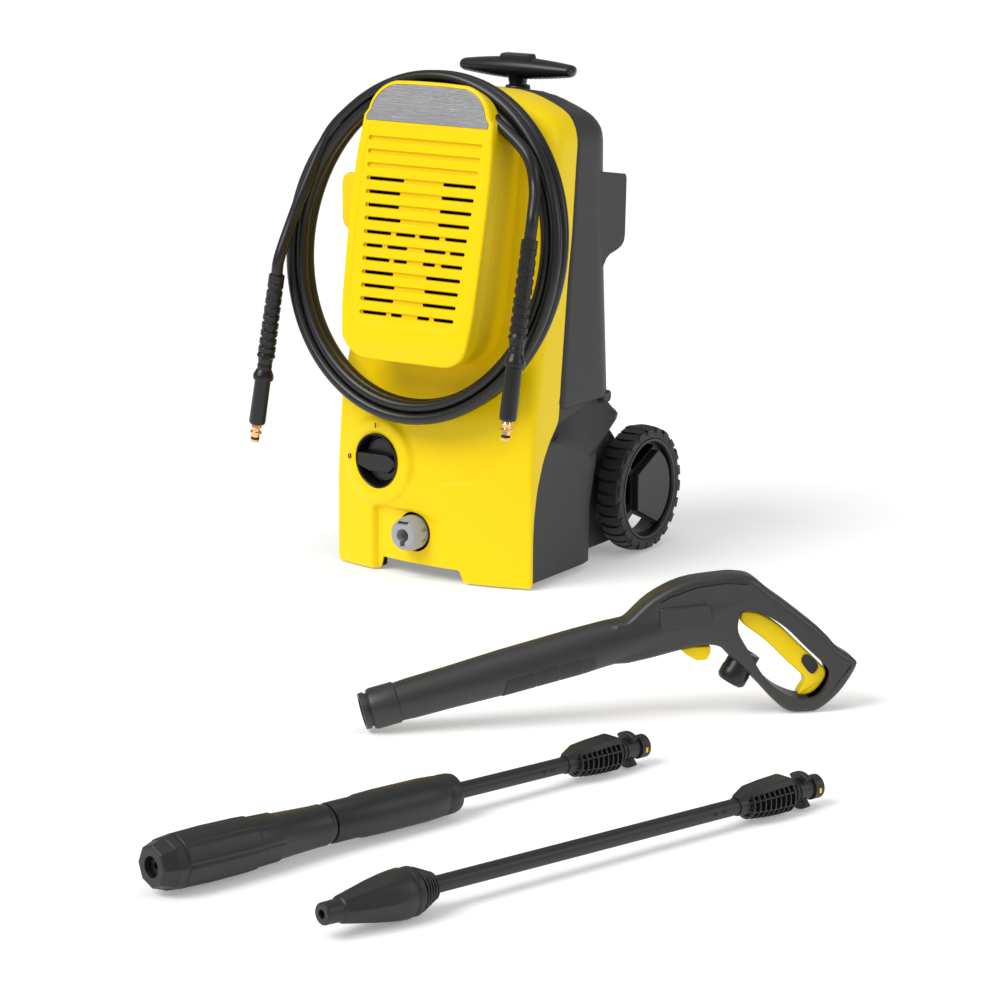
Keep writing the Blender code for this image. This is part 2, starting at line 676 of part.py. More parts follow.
def make_feet():
    for name, x0, x1 in (("foot_left", -110, -76), ("foot_right", 58, 110)):
        foot = box((x0, -1.5, 0), (x1, 8.7, 20), 1.5)
        add_object(name, foot, "rubber", ((x0 + x1) / 2, 4, 0))


# ---------------------------------------------------------------- motor and pump
def make_drive():
    base = (0, MOTOR_Y, 0)
    can = turned([(7, 205), (50, 205), (50, 385), (7, 385), (7, 381), (46, 381), (46, 209), (7, 209)],
                 base, segments=20)
    add_object("motor_housing", can, "cast", base)
    shaft = turned([(0, 170), (6, 170), (6, 235), (33, 235), (33, 340), (6, 340), (6, 400), (0, 400)],
                   base, segments=24)
    add_object("motor_rotor", shaft, "steel", base)
    tilt = Vector((math.sin(math.radians(8)), 0, math.cos(math.radians(8))))
    plate = turned([(0, -4), (34, -4), (34, 4), (0, 4)], (0, MOTOR_Y, 163), tilt, 28)
    add_object("wobble_plate", plate, "steel", (0, MOTOR_Y, 163))
    profile = [(0, 66), (30, 66), (30, 15.5), (46, 15.5), (48, 70), (48, 118), (0, 118)]
    head = add_object("pump_head", turned(profile, base, segments=20), "cast", base)
    for k in range(3):
        angle = math.radians(90 + 120 * k)
        place = (24 * math.cos(angle), MOTOR_Y + 24 * math.sin(angle), 0)
        bore = cylinder(7.05, 82, 130, place)
        boolean(head, add_object("bore", bore, "cast"))
        add_object("piston_%d" % (k + 1), cylinder(7, 84, 152, place), "steel", place)
    switch = box((50.5, MOTOR_Y - 14, 80), (78, MOTOR_Y + 14, 112), 2)
    add_object("pressure_switch", switch, "black", (64, MOTOR_Y, 96))
    capacitor = turned([(0, 250), (17, 250), (19, 252), (19, 318), (17, 320), (0, 320)],
                       (88, 110, 0))
    add_object("capacitor", capacitor, "cast", (88, 110, 0))
    tube("delivery_pipe", [(-16, 26.4, 55), (-16, 31, 56), (-16, 36, 64), (-14, 38, 76), (-11, 40, 88),
                           (-9, 45, 93.5), (-9, 50, 93.5)], 4, "copper")
    tube("suction_pipe", [(-60, 244, 46), (-60, 222, 47), (-64, 190, 62), (-70, 160, 84),
                          (-62, 133, 96), (-50.6, 125.4, 98), (-43, 121.2, 98)], 5, "rubber")


def make_screws():
    for label, (x, z) in zip(("left", "right"), SCREW_PLACES):
        profile = [(0, -14), (2, -14), (2, GAP), (4.5, GAP), (4, 3), (0, 3)]
        screw = turned(profile, (x, BODY_REAR, z), (0, 1, 0), 12)
        add_object("shell_screw_" + label, screw, "steel", (x, BODY_REAR, z))


# ---------------------------------------------------------------- hose
def coil_point(x, forward, z):
    """A place in the leaning plane of the coil."""
    return (x, COIL_CENTRE[1] + COIL_TILT * (z - COIL_CENTRE[2]) - forward, z)


def make_hose():
    depth = COIL_DEPTH / 2
    axis = Vector((0, 1, -COIL_TILT))
    profile = []
    for r, d, a0 in ((COIL_OUTER - 9, depth - 9, 0), (COIL_INNER + 9, depth - 9, 90),
                     (COIL_INNER + 9, 9 - depth, 180), (COIL_OUTER - 9, 9 - depth, 270)):
        profile += arc(r, d, 9, a0, a0 + 90, 1)
    coil = turned(profile, COIL_CENTRE, axis, 48)
    for vert in coil.verts:
        vert.co.x = COIL_CENTRE[0] + (vert.co.x - COIL_CENTRE[0]) * COIL_SQUEEZE
    add_object("hose_coil", coil, "hose", COIL_CENTRE)
    for label, route in HOSE_TAILS.items():
        tube("hose_tail_" + label, [coil_point(*place) for place in route], HOSE_RADIUS, "hose", 3, 2)
    for label, (top, foot) in HOSE_SLEEVES.items():
        top, foot = Vector(top), Vector(foot)
        way = (foot - top).normalized()
        length = (foot - top).length
        sleeve = turned([(SLEEVE_BORE, 0), (SLEEVE_BEND, 0), (SLEEVE_BEND, length * 0.53),
                         (SLEEVE_BEND + 1.2, length * 0.545), (SLEEVE_BEND, length * 0.56),
                         (SLEEVE_BEND, length * 0.64), (SLEEVE_COLLAR, length * 0.67),
                         (SLEEVE_COLLAR, length * 0.69), (SLEEVE_BEND, length * 0.71),
                         (SLEEVE_BEND, length - 1), (SLEEVE_BEND - 1, length), (NIPPLE_CORE + GAP, length),
                         (NIPPLE_CORE + GAP, length - NIPPLE_DEPTH - GAP),
                         (SLEEVE_BORE, length - NIPPLE_DEPTH - GAP)], top, way)
        add_object("hose_grip_" + label, sleeve, "black", top)
        nipple = turned([(0, length - NIPPLE_DEPTH), (NIPPLE_CORE, length - NIPPLE_DEPTH),
                         (NIPPLE_CORE, length + GAP), (NIPPLE_FLANGE - 1, length + GAP),
                         (NIPPLE_FLANGE - 1, length + 3.5), (NIPPLE_CORE + 0.3, length + 5),
                         (NIPPLE_CORE + 0.3, length + 9), (NIPPLE_FLANGE, length + 10),
                         (NIPPLE_FLANGE, length + 11.5), (NIPPLE_CORE + 0.3, length + 12.5),
                         (NIPPLE_CORE + 0.3, length + NIPPLE_LENGTH - 2),
                         (NIPPLE_CORE - 0.7, length + NIPPLE_LENGTH), (0, length + NIPPLE_LENGTH)], top, way)
        add_object("hose_nipple_" + label, nipple, "brass", top)


# ---------------------------------------------------------------- spray gun
def gun_matrix():
    """Places the gun's side view, S along the barrel and Z up, on the floor."""
    place = Matrix.Translation((GUN_FOOT[0], GUN_FOOT[1], GUN_LIFT))
    return place @ Matrix.Rotation(GUN_TURN, 4, "Z")


def gun_piece(name, bm, colour, pivot=(0, 0, 0)):
    matrix = gun_matrix()
    bmesh.ops.transform(bm, matrix=matrix, verts=bm.verts)
    return add_object(name, bm, colour, matrix @ Vector(pivot))


def barrel_axis(s):
    """A point on the barrel's centre line."""
    return (s, 0, 28 + math.tan(GUN_SLOPE) * s)


def make_gun():
    half = GUN_THICKNESS / 2
    along = (math.cos(GUN_SLOPE), 0, math.sin(GUN_SLOPE))
    outline = [(215, 58), (300, 72), (326, 72), (338, 62), (366, 34), (386, 12), (402, -GUN_LIFT), (436, -GUN_LIFT),
               (458, 17), (475, 43), (472, 52), (438, 83), (402, 113), (364, 143), (330, 147),
               (290, 142), (256, 126), (231, 104), (215, 97)]
    body = gun_piece("gun_body", prism(outline, -half, half), "dark")
    loop = [(352, 112), (374, 114), (402, 98), (440, 56), (446, 44), (432, 24), (412, 14), (396, 28),
            (386, 52), (362, 84)]
    boolean(body, gun_piece("loop", prism(loop, -40, 40), "dark"))
    groove = [(356, 100), (366, 121), (380, 121), (411, 105), (449, 65), (457, 50), (446, 34), (430, 40)]
    boolean(body, gun_piece("groove", prism(groove, -9, 9), "dark"))
    profile = [(0, 4), (20, 4), (23.5, 120), (24, 236), (20, 240), (0, 240)]
    boolean(body, gun_piece("barrel", turned(profile, barrel_axis(-12), along, 20), "dark"), "UNION")
    muzzle = turned([(0, -32), (21.5, -32), (21.5, 4.5), (19, 6), (0, 6)], barrel_axis(-12), along, 20)
    boolean(body, gun_piece("muzzle", muzzle, "dark"), "UNION")
    bore = cylinder(16, -40, 2, barrel_axis(-12), along, 20)
    boolean(body, gun_piece("bore", bore, "dark"))
    lever = [(357, 109), (374, 111), (400, 95), (437, 54), (442, 43), (430, 28), (420, 20), (418, 28),
             (424, 40), (392, 74), (366, 96)]
    trigger = gun_piece("gun_trigger", prism(lever, -8, 8), "yellow", (365, 0, 103))
    catch = [(420, 50), (429.5, 45.5), (428, 56)]
    slot_shape = [(419.2, 50), (430.1, 44.8), (428.3, 57)]
    boolean(trigger, gun_piece("lock_slot", prism(slot_shape, -20, 20), "yellow"))
    gun_piece("gun_trigger_lock", prism(catch, -8.6, 5.6), "black", (426, 0, 50))
    pocket = cylinder(15 + GAP, -14, 40, GUN_SOCKET, GUN_SOCKET_AXIS)
    boolean(body, gun_piece("pocket", pocket, "dark"))
    socket = turned([(6, GAP - 14), (15, GAP - 14), (15, 20), (12.5, 24), (6, 24)],
                    GUN_SOCKET, GUN_SOCKET_AXIS)
    gun_piece("gun_hose_socket", socket, "black", GUN_SOCKET)
    latch = prism([(301, 71.6), (297, 54), (305, 49), (317, 60), (318, 71.6)], -9, 9)
    gun_piece("gun_hose_latch", latch, "yellow", (309, 0, 71))


# ---------------------------------------------------------------- lances
def lance_piece(name, profile, colour, nose, tail, segments=SIDES):
    way = Vector(tail) - Vector(nose)
    bm = turned(profile, nose, way, segments)
    return add_object(name, bm, colour, nose)


def make_vario_lance():
    ends = (VARIO_NOSE, VARIO_TAIL)
    length = (Vector(VARIO_TAIL) - Vector(VARIO_NOSE)).length
    head = [(10, 46), (10, 0), (22, 0), (24, 8), (26.5, 20), (27.5, 46), (26.5, 110), (24, 150),
            (19.5, 190), (19.5, 202), (8.3, 202), (8.3, 46)]
    lance_piece("vario_sleeve", head, "dark", *ends, 20)
    grip = [(8.3, 203), (18, 203), (18.5, 250), (17.5, 330), (16, 338), (16, 346), (8.3, 346)]
    lance_piece("vario_grip", grip, "dark", *ends)
    tube_end = length - COUPLING_LENGTH
    lance_piece("vario_tube", [(0, 60), (8, 60), (8, tube_end - GAP), (0, tube_end - GAP)], "black", *ends)
    coupling(ends, tube_end, "vario_coupling")


def coupling(ends, start, name):
    """Finned collar and bayonet end that locks into the gun's muzzle."""
    profile = [(0, start), (9, start), (17, start + 30), (18, start + 66), (12, start + 68),
               (12, start + 84), (14, start + 85), (14, start + 98), (9, start + 100), (9, start + 108),
               (0, start + 108)]
    lance_piece(name, profile, "black", *ends)


def make_blaster_lance():
    ends = (BLASTER_NOSE, BLASTER_TAIL)
    length = (Vector(BLASTER_TAIL) - Vector(BLASTER_NOSE)).length
    nose = [(4, 40), (4, 0), (9.5, 0), (12, 12), (21.5, 72), (22.7, 96), (22.7, 118), (18, 124),
            (18, 134), (8.3, 134), (8.3, 40)]
    lance_piece("blaster_nose", nose, "black", *ends, 20)
    tube_end = length - COUPLING_LENGTH
    lance_piece("blaster_tube", [(0, 80), (8, 80), (8, tube_end - GAP), (0, tube_end - GAP)], "black", *ends)
    coupling(ends, tube_end, "blaster_coupling")


# ---------------------------------------------------------------- build
def make_all():
    make_front_shell()
    make_hose_column()
    make_cover()
    make_badge_plate()
    make_rear_shell()
    make_chassis()
    make_holder("holder_left", -1)
    make_holder("holder_right", 1)
    make_dial()
    make_outlet()
    make_inlet()
    make_handle()
    make_wheel(-1, "left")
    make_wheel(1, "right")
    make_axle()
    make_feet()
    make_drive()
    make_screws()
    make_hose()
    make_gun()
    make_vario_lance()
    make_blaster_lance()


def centre_on_origin():
    """Moves everything so that the ground area, hose left out, is centred on the origin."""
    corners = [obj.matrix_world @ Vector(corner) for obj in bpy.data.objects
               if not obj.name.startswith("hose_") or obj.name == "hose_column"
               for corner in obj.bound_box]
    middle = [(min(c[i] for c in corners) + max(c[i] for c in corners)) / 2 for i in range(2)]
    for obj in bpy.data.objects:
        obj.location.x -= middle[0]
        obj.location.y -= middle[1]
    print("machine frame moved by", -middle[0], -middle[1])


make_all()
centre_on_origin()
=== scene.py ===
"""Home pressure washer with hose, spray gun and two lances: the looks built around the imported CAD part."""
import json
import math

import bmesh
import bpy
from mathutils import Matrix, Vector

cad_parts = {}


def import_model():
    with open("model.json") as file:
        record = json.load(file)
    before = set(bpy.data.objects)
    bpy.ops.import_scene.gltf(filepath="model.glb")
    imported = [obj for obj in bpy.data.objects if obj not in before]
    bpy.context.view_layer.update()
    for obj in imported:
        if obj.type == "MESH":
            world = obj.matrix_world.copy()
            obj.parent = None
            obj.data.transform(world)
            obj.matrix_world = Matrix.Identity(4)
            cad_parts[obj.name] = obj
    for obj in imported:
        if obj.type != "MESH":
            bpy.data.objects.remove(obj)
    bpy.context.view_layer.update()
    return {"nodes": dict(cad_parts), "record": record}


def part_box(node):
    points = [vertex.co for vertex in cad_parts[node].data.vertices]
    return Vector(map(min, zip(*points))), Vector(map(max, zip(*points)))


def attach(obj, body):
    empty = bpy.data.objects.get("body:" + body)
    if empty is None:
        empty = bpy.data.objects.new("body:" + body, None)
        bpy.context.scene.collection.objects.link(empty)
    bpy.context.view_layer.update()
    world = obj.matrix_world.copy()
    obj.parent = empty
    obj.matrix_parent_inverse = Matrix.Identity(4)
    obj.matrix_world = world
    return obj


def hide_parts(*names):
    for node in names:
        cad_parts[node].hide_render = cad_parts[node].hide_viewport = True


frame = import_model()

# ---------------------------------------------------------------- place of the machine in the frame
low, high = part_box("front_shell")
X0 = (low.x + high.x) / 2
Y0 = low.y + 0.020
MM = 0.001
GAP = 0.3

BODY_HALF = 137.0
BODY_HALF_TOP = 130.0
BODY_REAR = 195.0
FRONT_RADIUS = 448.0
REAR_CORNER = 47.0
FRONT_LINE = [(0, -29), (120, -28), (200, -22), (250, -11), (300, 1), (400, 16), (500, 32), (554, 44),
              (572, 52)]
SEAM_LINE = [(-20, -5), (60, -4), (88, -1.5), (118, 5), (150, 18), (172, 33), (182, 43), (190, 51),
             (240, 59), (355, 80),
             (402, 91), (486, 100), (517, 104), (600, 104)]
HALF_TABLE = [(400, 130), (508.5, 130), (520, 129), (530, 126.7), (538.5, 122.8), (546, 117.1), (552, 108),
              (557.5, 96.5), (563, 82.8), (567.4, 69), (570.5, 50), (571.5, 25), (572, 6)]
ROOF_FALL = 0.15

COVER_TILT = 0.21
COVER_FACE_Y = -131.5
COVER_BOTTOM = 266.0
COVER_TOP = 587.0
COVER_DEPTH = 24.0
SLOT_FIRST = 518.6
SLOT_PITCH = 15.23

COIL_CENTRE = (-11.0, -6.0, 393.5)
COIL_TILT = 0.2
COIL_MEAN = 190.5
COIL_SQUEEZE = 0.925
HOSE_RADIUS = 7.0
LEFT_GRIP = ((-193.6, -48, 350), (-226, -48, 166))
RIGHT_GRIP = ((155, -41, 421), (148, -77, 217))

DIAL_CENTRE = (-70.0, 134.0)
DIAL_TURN = math.radians(9.0)
OUTLET_CENTRE = (-16.0, 55.0)

WHEEL_RADIUS = 76.6
WHEEL_Y = 239.0
WHEEL_MID = 136.25
WHEEL_WIDTH = 33.5

HANDLE_Y = 179.0
GRIP_HEIGHT = 588.0

GUN_FOOT = (326.4, -556.8)
GUN_TURN = math.radians(42.8)
GUN_SLOPE = math.atan(0.237)
GUN_LIFT = 3.2
VARIO_NOSE = (429.5, -1113.8, 28.2)
VARIO_TAIL = (592.0, -530.0, 18.4)
BLASTER_NOSE = (623.2, -1125.7, 23.8)
BLASTER_TAIL = (800.0, -556.0, 18.4)
COLLAR_START = 104.0


def world(point):
    """Machine millimetres to frame metres."""
    return Vector((X0 + point[0] * MM, Y0 + point[1] * MM, point[2] * MM))


# ---------------------------------------------------------------- camera
camera = bpy.data.objects.new("camera", bpy.data.cameras.new("camera"))
bpy.context.scene.collection.objects.link(camera)
camera.location = world((2443.9, -3698.2, 1126.0))
view_turn = math.radians(32.49)
view_dip = math.radians(13.15)
camera_way = Vector((-math.sin(view_turn) * math.cos(view_dip), math.cos(view_turn) * math.cos(view_dip),
                     -math.sin(view_dip)))
camera.rotation_mode = "QUATERNION"
camera.rotation_quaternion = camera_way.to_track_quat("-Z", "Y")
camera.data.lens = 138.5
camera.data.sensor_width = 36.0
camera.data.clip_start = 0.1
camera.data.clip_end = 100.0
bpy.context.scene.camera = camera


# ---------------------------------------------------------------- materials
def plastic(name, colour, roughness, grain=0.0, grain_size=0.0006, mottle=0.0, metallic=0.0, coat=0.0,
            stretch=(1, 1, 1), shine=0.5):
    """A moulded or metal finish: fine grain in the surface and a slight unevenness of gloss."""
    made = bpy.data.materials.new(name)
    made.use_nodes = True
    nodes, links = made.node_tree.nodes, made.node_tree.links
    shader = nodes["Principled BSDF"]
    shader.inputs["Base Color"].default_value = (*colour, 1)
    shader.inputs["Roughness"].default_value = roughness
    shader.inputs["Metallic"].default_value = metallic
    shader.inputs["Coat Weight"].default_value = coat
    shader.inputs["Coat Roughness"].default_value = 0.2
    shader.inputs["Specular IOR Level"].default_value = shine
    place = nodes.new("ShaderNodeTexCoord")
    mapping = nodes.new("ShaderNodeMapping")
    mapping.inputs["Scale"].default_value = stretch
    links.new(place.outputs["Object"], mapping.inputs["Vector"])
    wide = nodes.new("ShaderNodeTexNoise")
    wide.inputs["Scale"].default_value = 14.0
    wide.inputs["Detail"].default_value = 3.0
    links.new(mapping.outputs["Vector"], wide.inputs["Vector"])
    gloss = nodes.new("ShaderNodeMapRange")
    gloss.inputs["To Min"].default_value = roughness - 0.04
    gloss.inputs["To Max"].default_value = roughness + 0.04
    links.new(wide.outputs["Fac"], gloss.inputs["Value"])
    links.new(gloss.outputs["Result"], shader.inputs["Roughness"])
    if mottle:
        tone = nodes.new("ShaderNodeMixRGB")
        tone.inputs["Color1"].default_value = (*[c * (1 - mottle) for c in colour], 1)
        tone.inputs["Color2"].default_value = (*[min(c * (1 + mottle), 1) for c in colour], 1)
        links.new(wide.outputs["Fac"], tone.inputs["Fac"])
        links.new(tone.outputs["Color"], shader.inputs["Base Color"])
    if grain:
        fine = nodes.new("ShaderNodeTexNoise")
        fine.inputs["Scale"].default_value = 1.0 / grain_size
        fine.inputs["Detail"].default_value = 2.0
        links.new(mapping.outputs["Vector"], fine.inputs["Vector"])
        bump = nodes.new("ShaderNodeBump")
        bump.inputs["Strength"].default_value = grain
        bump.inputs["Distance"].default_value = 0.0003
        links.new(fine.outputs["Fac"], bump.inputs["Height"])
        links.new(bump.outputs["Normal"], shader.inputs["Normal"])
    return made


LOOKS = {
    "yellow_shell": plastic("yellow_shell", (0.95, 0.68, 0.0), 0.34, 0.05, 0.0009, shine=0.22),
    # yellow_deep: a darker copy of the yellow, with painted shade for the hose column's walls that lie in the
    # cover's shadow; its stronger grain is their fine dotted texture
    "yellow_deep": plastic("yellow_deep", (0.9, 0.62, 0.0), 0.46, 0.25, 0.0014, shine=0.2),
    "dark_shell": plastic("dark_shell", (0.03, 0.03, 0.0295), 0.5, 0.35, 0.0007, 0.12, shine=0.38),
    "black_plastic": plastic("black_plastic", (0.007, 0.007, 0.007), 0.33, 0.1, 0.0006, 0.1, shine=0.45),
    "gun_plastic": plastic("gun_plastic", (0.022, 0.022, 0.021), 0.42, 0.35, 0.0006, 0.1, shine=0.6),
    "lance_plastic": plastic("lance_plastic", (0.012, 0.012, 0.0115), 0.44, 0.3, 0.0006, 0.1, shine=0.5),
    "hose": plastic("hose", (0.006, 0.006, 0.006), 0.33, 0.08, 0.0012, 0.1, shine=0.5),
    "soft_rubber": plastic("soft_rubber", (0.017, 0.017, 0.017), 0.75, 0.3, 0.0007),
    "tyre": plastic("tyre", (0.02, 0.02, 0.019), 0.6, 0.3, 0.0008, 0.15),
    "grey_plastic": plastic("grey_plastic", (0.36, 0.37, 0.39), 0.42, 0.08, 0.0008),
    "brushed_plate": plastic("brushed_plate", (0.4, 0.4, 0.41), 0.36, 0.6, 0.0006, 0.25, 0.9, 0.0,
                             (0.03, 0.03, 1)),
    "steel": plastic("steel", (0.6, 0.6, 0.62), 0.28, 0.05, 0.0006, 0.05, 1.0),
    "brass": plastic("brass", (0.9, 0.55, 0.28), 0.24, 0.05, 0.0006, 0.05, 1.0),
    "copper": plastic("copper", (0.7, 0.35, 0.2), 0.35, 0.05, 0.0006, 0.05, 1.0),
    "cast_metal": plastic("cast_metal", (0.5, 0.5, 0.52), 0.5, 0.3, 0.0007, 0.1, 1.0),
    "grip_patch": plastic("grip_patch", (0.014, 0.014, 0.014), 0.5, 1.0, 0.0016, 0.1, shine=0.5),
    "ink": plastic("ink", (0.03, 0.025, 0.0), 0.5, 0.05),
    # pit: near-black painted shade for the dark inside holes and behind openings (behind the cover's slots, in the
    # outlet, behind the wheel's openings, in the lance tube's holes)
    "pit": plastic("pit", (0.004, 0.004, 0.004), 0.6, 0.05),
}
SLOT_OF = {row["node"]: row["material_slot"] for row in frame["record"]["subparts"]}
for name, node in frame["nodes"].items():
    node.data.materials.clear()
    node.data.materials.append(LOOKS[SLOT_OF[name]])


# ---------------------------------------------------------------- modelling helpers
def add(name, bm, look, body, replaced=(), smooth=35, bevel=0.0, facing=None):
    """Makes a piece from a bmesh drawn in machine millimetres and lets it ride on a body."""
    for vert in bm.verts:
        vert.co = world(vert.co)
    bmesh.ops.remove_doubles(bm, verts=bm.verts, dist=1e-6)
    bmesh.ops.recalc_face_normals(bm, faces=bm.faces)
    if facing and sum(face.normal.dot(Vector(facing)) * face.calc_area() for face in bm.faces) < 0:
        bmesh.ops.reverse_faces(bm, faces=bm.faces)
    mesh = bpy.data.meshes.new(name)
    bm.to_mesh(mesh)
    bm.free()
    obj = bpy.data.objects.new(name, mesh)
    bpy.context.scene.collection.objects.link(obj)
    mesh.materials.append(LOOKS[look])
    if smooth:
        mesh.shade_smooth()
        mesh.set_sharp_from_angle(angle=math.radians(smooth))
    if bevel:
        round_edges(obj, bevel)
    if body:
        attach(obj, body)
        if replaced:
            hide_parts(*replaced)
    return obj


def round_edges(obj, width, segments=2, angle=35):
    bevel = obj.modifiers.new("edges", "BEVEL")
    bevel.width = width * MM
    bevel.segments = segments
    bevel.limit_method = "ANGLE"
    bevel.angle_limit = math.radians(angle)
    bevel.harden_normals = False
    return bevel


def cut(target, bm, operation="DIFFERENCE"):
    """Applies a Boolean with a bmesh drawn in machine millimetres."""
    tool = add("tool", bm, "pit", None, smooth=0)
    modifier = target.modifiers.new("cut", "BOOLEAN")
    modifier.object = tool
    modifier.operation = operation
    modifier.solver = "EXACT"
    modifier.use_self = False
    graph = bpy.context.evaluated_depsgraph_get()
    made = bpy.data.meshes.new_from_object(target.evaluated_get(graph))
    target.modifiers.clear()
    old = target.data
    look = old.materials[0]
    target.data = made
    made.name = old.name
    made.materials.clear()
    made.materials.append(look)
    for polygon in made.polygons:
        polygon.material_index = 0
    bpy.data.objects.remove(tool, do_unlink=True)
    return target


def shade(obj, angle=35):
    obj.data.shade_smooth()
    obj.data.set_sharp_from_angle(angle=math.radians(angle))
    return obj


def loft(rings, closed=True, caps=True, bm=None):
    bm = bm or bmesh.new()
    rows = [[bm.verts.new(point) for point in ring] for ring in rings]
    count = len(rows[0])
    for a, b in zip(rows, rows[1:]):
        for i in range(count if closed else count - 1):
            j = (i + 1) % count
            bm.faces.new((a[i], a[j], b[j], b[i]))
    if closed and caps:
        bm.faces.new(rows[0][::-1])
        bm.faces.new(rows[-1])
    return bm


def prism(outline, low, high, plane="XZ", bm=None):
    place = {
        "XZ": lambda a, b, c: (a, c, b),
        "YZ": lambda a, b, c: (c, a, b),
        "XY": lambda a, b, c: (a, b, c),
    }[plane]
    return loft([[place(a, b, c) for a, b in outline] for c in (low, high)], bm=bm)


def box(low, high, bm=None):
    outline = [(low[0], low[1]), (high[0], low[1]), (high[0], high[1]), (low[0], high[1])]
    return prism(outline, low[2], high[2], "XY", bm)


def turned(profile, base=(0, 0, 0), direction=(0, 0, 1), segments=48, bm=None):
    """Turns (radius, height) points about an axis; a profile off the axis makes a closed ring."""
    bm = bm or bmesh.new()
    turn = Vector((0, 0, 1)).rotation_difference(Vector(direction).normalized()).to_matrix()
    rows = []
    for radius, height in profile:
        row = []
        for i in range(1 if radius == 0 else segments):
            angle = 2 * math.pi * i / segments
            point = Vector((radius * math.cos(angle), radius * math.sin(angle), height))
            row.append(bm.verts.new(Vector(base) + turn @ point))
        rows.append(row)
    pairs = list(zip(rows, rows[1:]))
    if profile[0][0] != 0 and profile[-1][0] != 0:
        pairs.append((rows[-1], rows[0]))
    for a, b in pairs:
        for i in range(segments):
            j = (i + 1) % segments
            if len(a) == 1 and len(b) == 1:
                break
            if len(a) == 1:
                bm.faces.new((a[0], b[j], b[i]))
            elif len(b) == 1:
                bm.faces.new((a[i], a[j], b[0]))
            else:
                bm.faces.new((a[i], a[j], b[j], b[i]))
    return bm


def cylinder(radius, low, high, base=(0, 0, 0), direction=(0, 0, 1), segments=48, bm=None):
    return turned([(0, low), (radius, low), (radius, high), (0, high)], base, direction, segments, bm)


def arc(cx, cy, radius, start, end, steps):
    return [(cx + radius * math.cos(math.radians(start + (end - start) * i / steps)),
             cy + radius * math.sin(math.radians(start + (end - start) * i / steps))) for i in range(steps + 1)]


def between(table, value):
    if value <= table[0][0]:
        return table[0][1]
    for (k0, r0), (k1, r1) in zip(table, table[1:]):
        if value <= k1:
            return r0 + (r1 - r0) * (value - k0) / (k1 - k0)
    return table[-1][1]


def smooth_table(table, value, reach=9.0):
    """The table's value averaged over a short reach, so that its corners are rounded."""
    return sum(between(table, value + reach * k / 4) for k in range(-4, 5)) / 9


def ease(value, low, high):
    t = min(max((value - low) / (high - low), 0), 1)
    return t * t * (3 - 2 * t)


def smooth_path(points, steps):
    ends = [2 * Vector(points[0]) - Vector(points[1]), *map(Vector, points),
            2 * Vector(points[-1]) - Vector(points[-2])]
    path = []
    for a, b, c, d in zip(ends, ends[1:], ends[2:], ends[3:]):
        for i in range(steps):
            t = i / steps
            path.append(0.5 * (2 * b + (c - a) * t + (2 * a - 5 * b + 4 * c - d) * t ** 2
                               + (3 * b - a - 3 * c + d) * t ** 3))
    path.append(Vector(points[-1]))
    return path


# ---------------------------------------------------------------- hose
def coil_point(x, forward, z):
    return (x, COIL_CENTRE[1] + COIL_TILT * (z - COIL_CENTRE[2]) - forward, z)


STRANDS = [(7.2, -7.5), (6.8, 6.8), (-6.6, 7.6), (-6.8, -6.6), (-6.4, -20.6)]


def strand_point(turns):
    """A place on the wound hose: turns go from the left side over the top, down the right and round below."""
    k = int(math.floor(turns))
    part = turns - k
    here = STRANDS[min(max(k, 0), 4)]
    before = STRANDS[min(max(k - 1, 0), 4)]
    blend = ease(part, 0.05, 0.34)
    rho = before[0] + (here[0] - before[0]) * blend
    deep = before[1] + (here[1] - before[1]) * blend
    wave = 1.2 * math.sin(2 * math.pi * part * 2 + k * 1.7)
    angle = math.pi - 2 * math.pi * part
    radius = COIL_MEAN + rho + wave * 0.6
    lean = 1 / math.hypot(1, COIL_TILT)
    x = COIL_CENTRE[0] + radius * COIL_SQUEEZE * math.cos(angle)
    rise = radius * math.sin(angle)
    return Vector((x, COIL_CENTRE[1] + COIL_TILT * lean * rise + deep, COIL_CENTRE[2] + rise * lean * 1.01))


def make_hose():
    grip_way = (Vector(LEFT_GRIP[1]) - Vector(LEFT_GRIP[0])).normalized()
    first = Vector(LEFT_GRIP[0])
    route = [first + grip_way * 16, first + grip_way * 2, first - grip_way * 20]
    route += [Vector(coil_point(-184.5, 28, 410)), Vector(coil_point(-176, 22, 446))]
    turns = 0.1
    while turns < 4.36:
        route.append(strand_point(turns))
        turns += 1 / 28
    last = Vector(RIGHT_GRIP[0])
    way = (Vector(RIGHT_GRIP[1]) - last).normalized()
    route += [Vector(coil_point(131, 26, 512)), Vector(coil_point(146, 27, 478)), last - way * 26,
              last - way * 2,
              last + way * 14]
    path = smooth_path(route, 5)
    curve = bpy.data.curves.new("hose_line", "CURVE")
    curve.dimensions = "3D"
    curve.bevel_depth = HOSE_RADIUS * MM
    curve.bevel_resolution = 5
    curve.use_fill_caps = True
    spline = curve.splines.new("POLY")
    spline.points.add(len(path) - 1)
    for point, place in zip(spline.points, path):
        point.co = (*world(place), 1.0)
    curve.materials.append(LOOKS["hose"])
    obj = bpy.data.objects.new("hose_line", curve)
    bpy.context.scene.collection.objects.link(obj)
    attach(obj, "root")
    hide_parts("hose_coil", "hose_tail_left", "hose_tail_right")
    fittings = []
    for label, (top, foot) in (("left", LEFT_GRIP), ("right", RIGHT_GRIP)):
        fittings += make_fitting(label, Vector(top), Vector(foot))


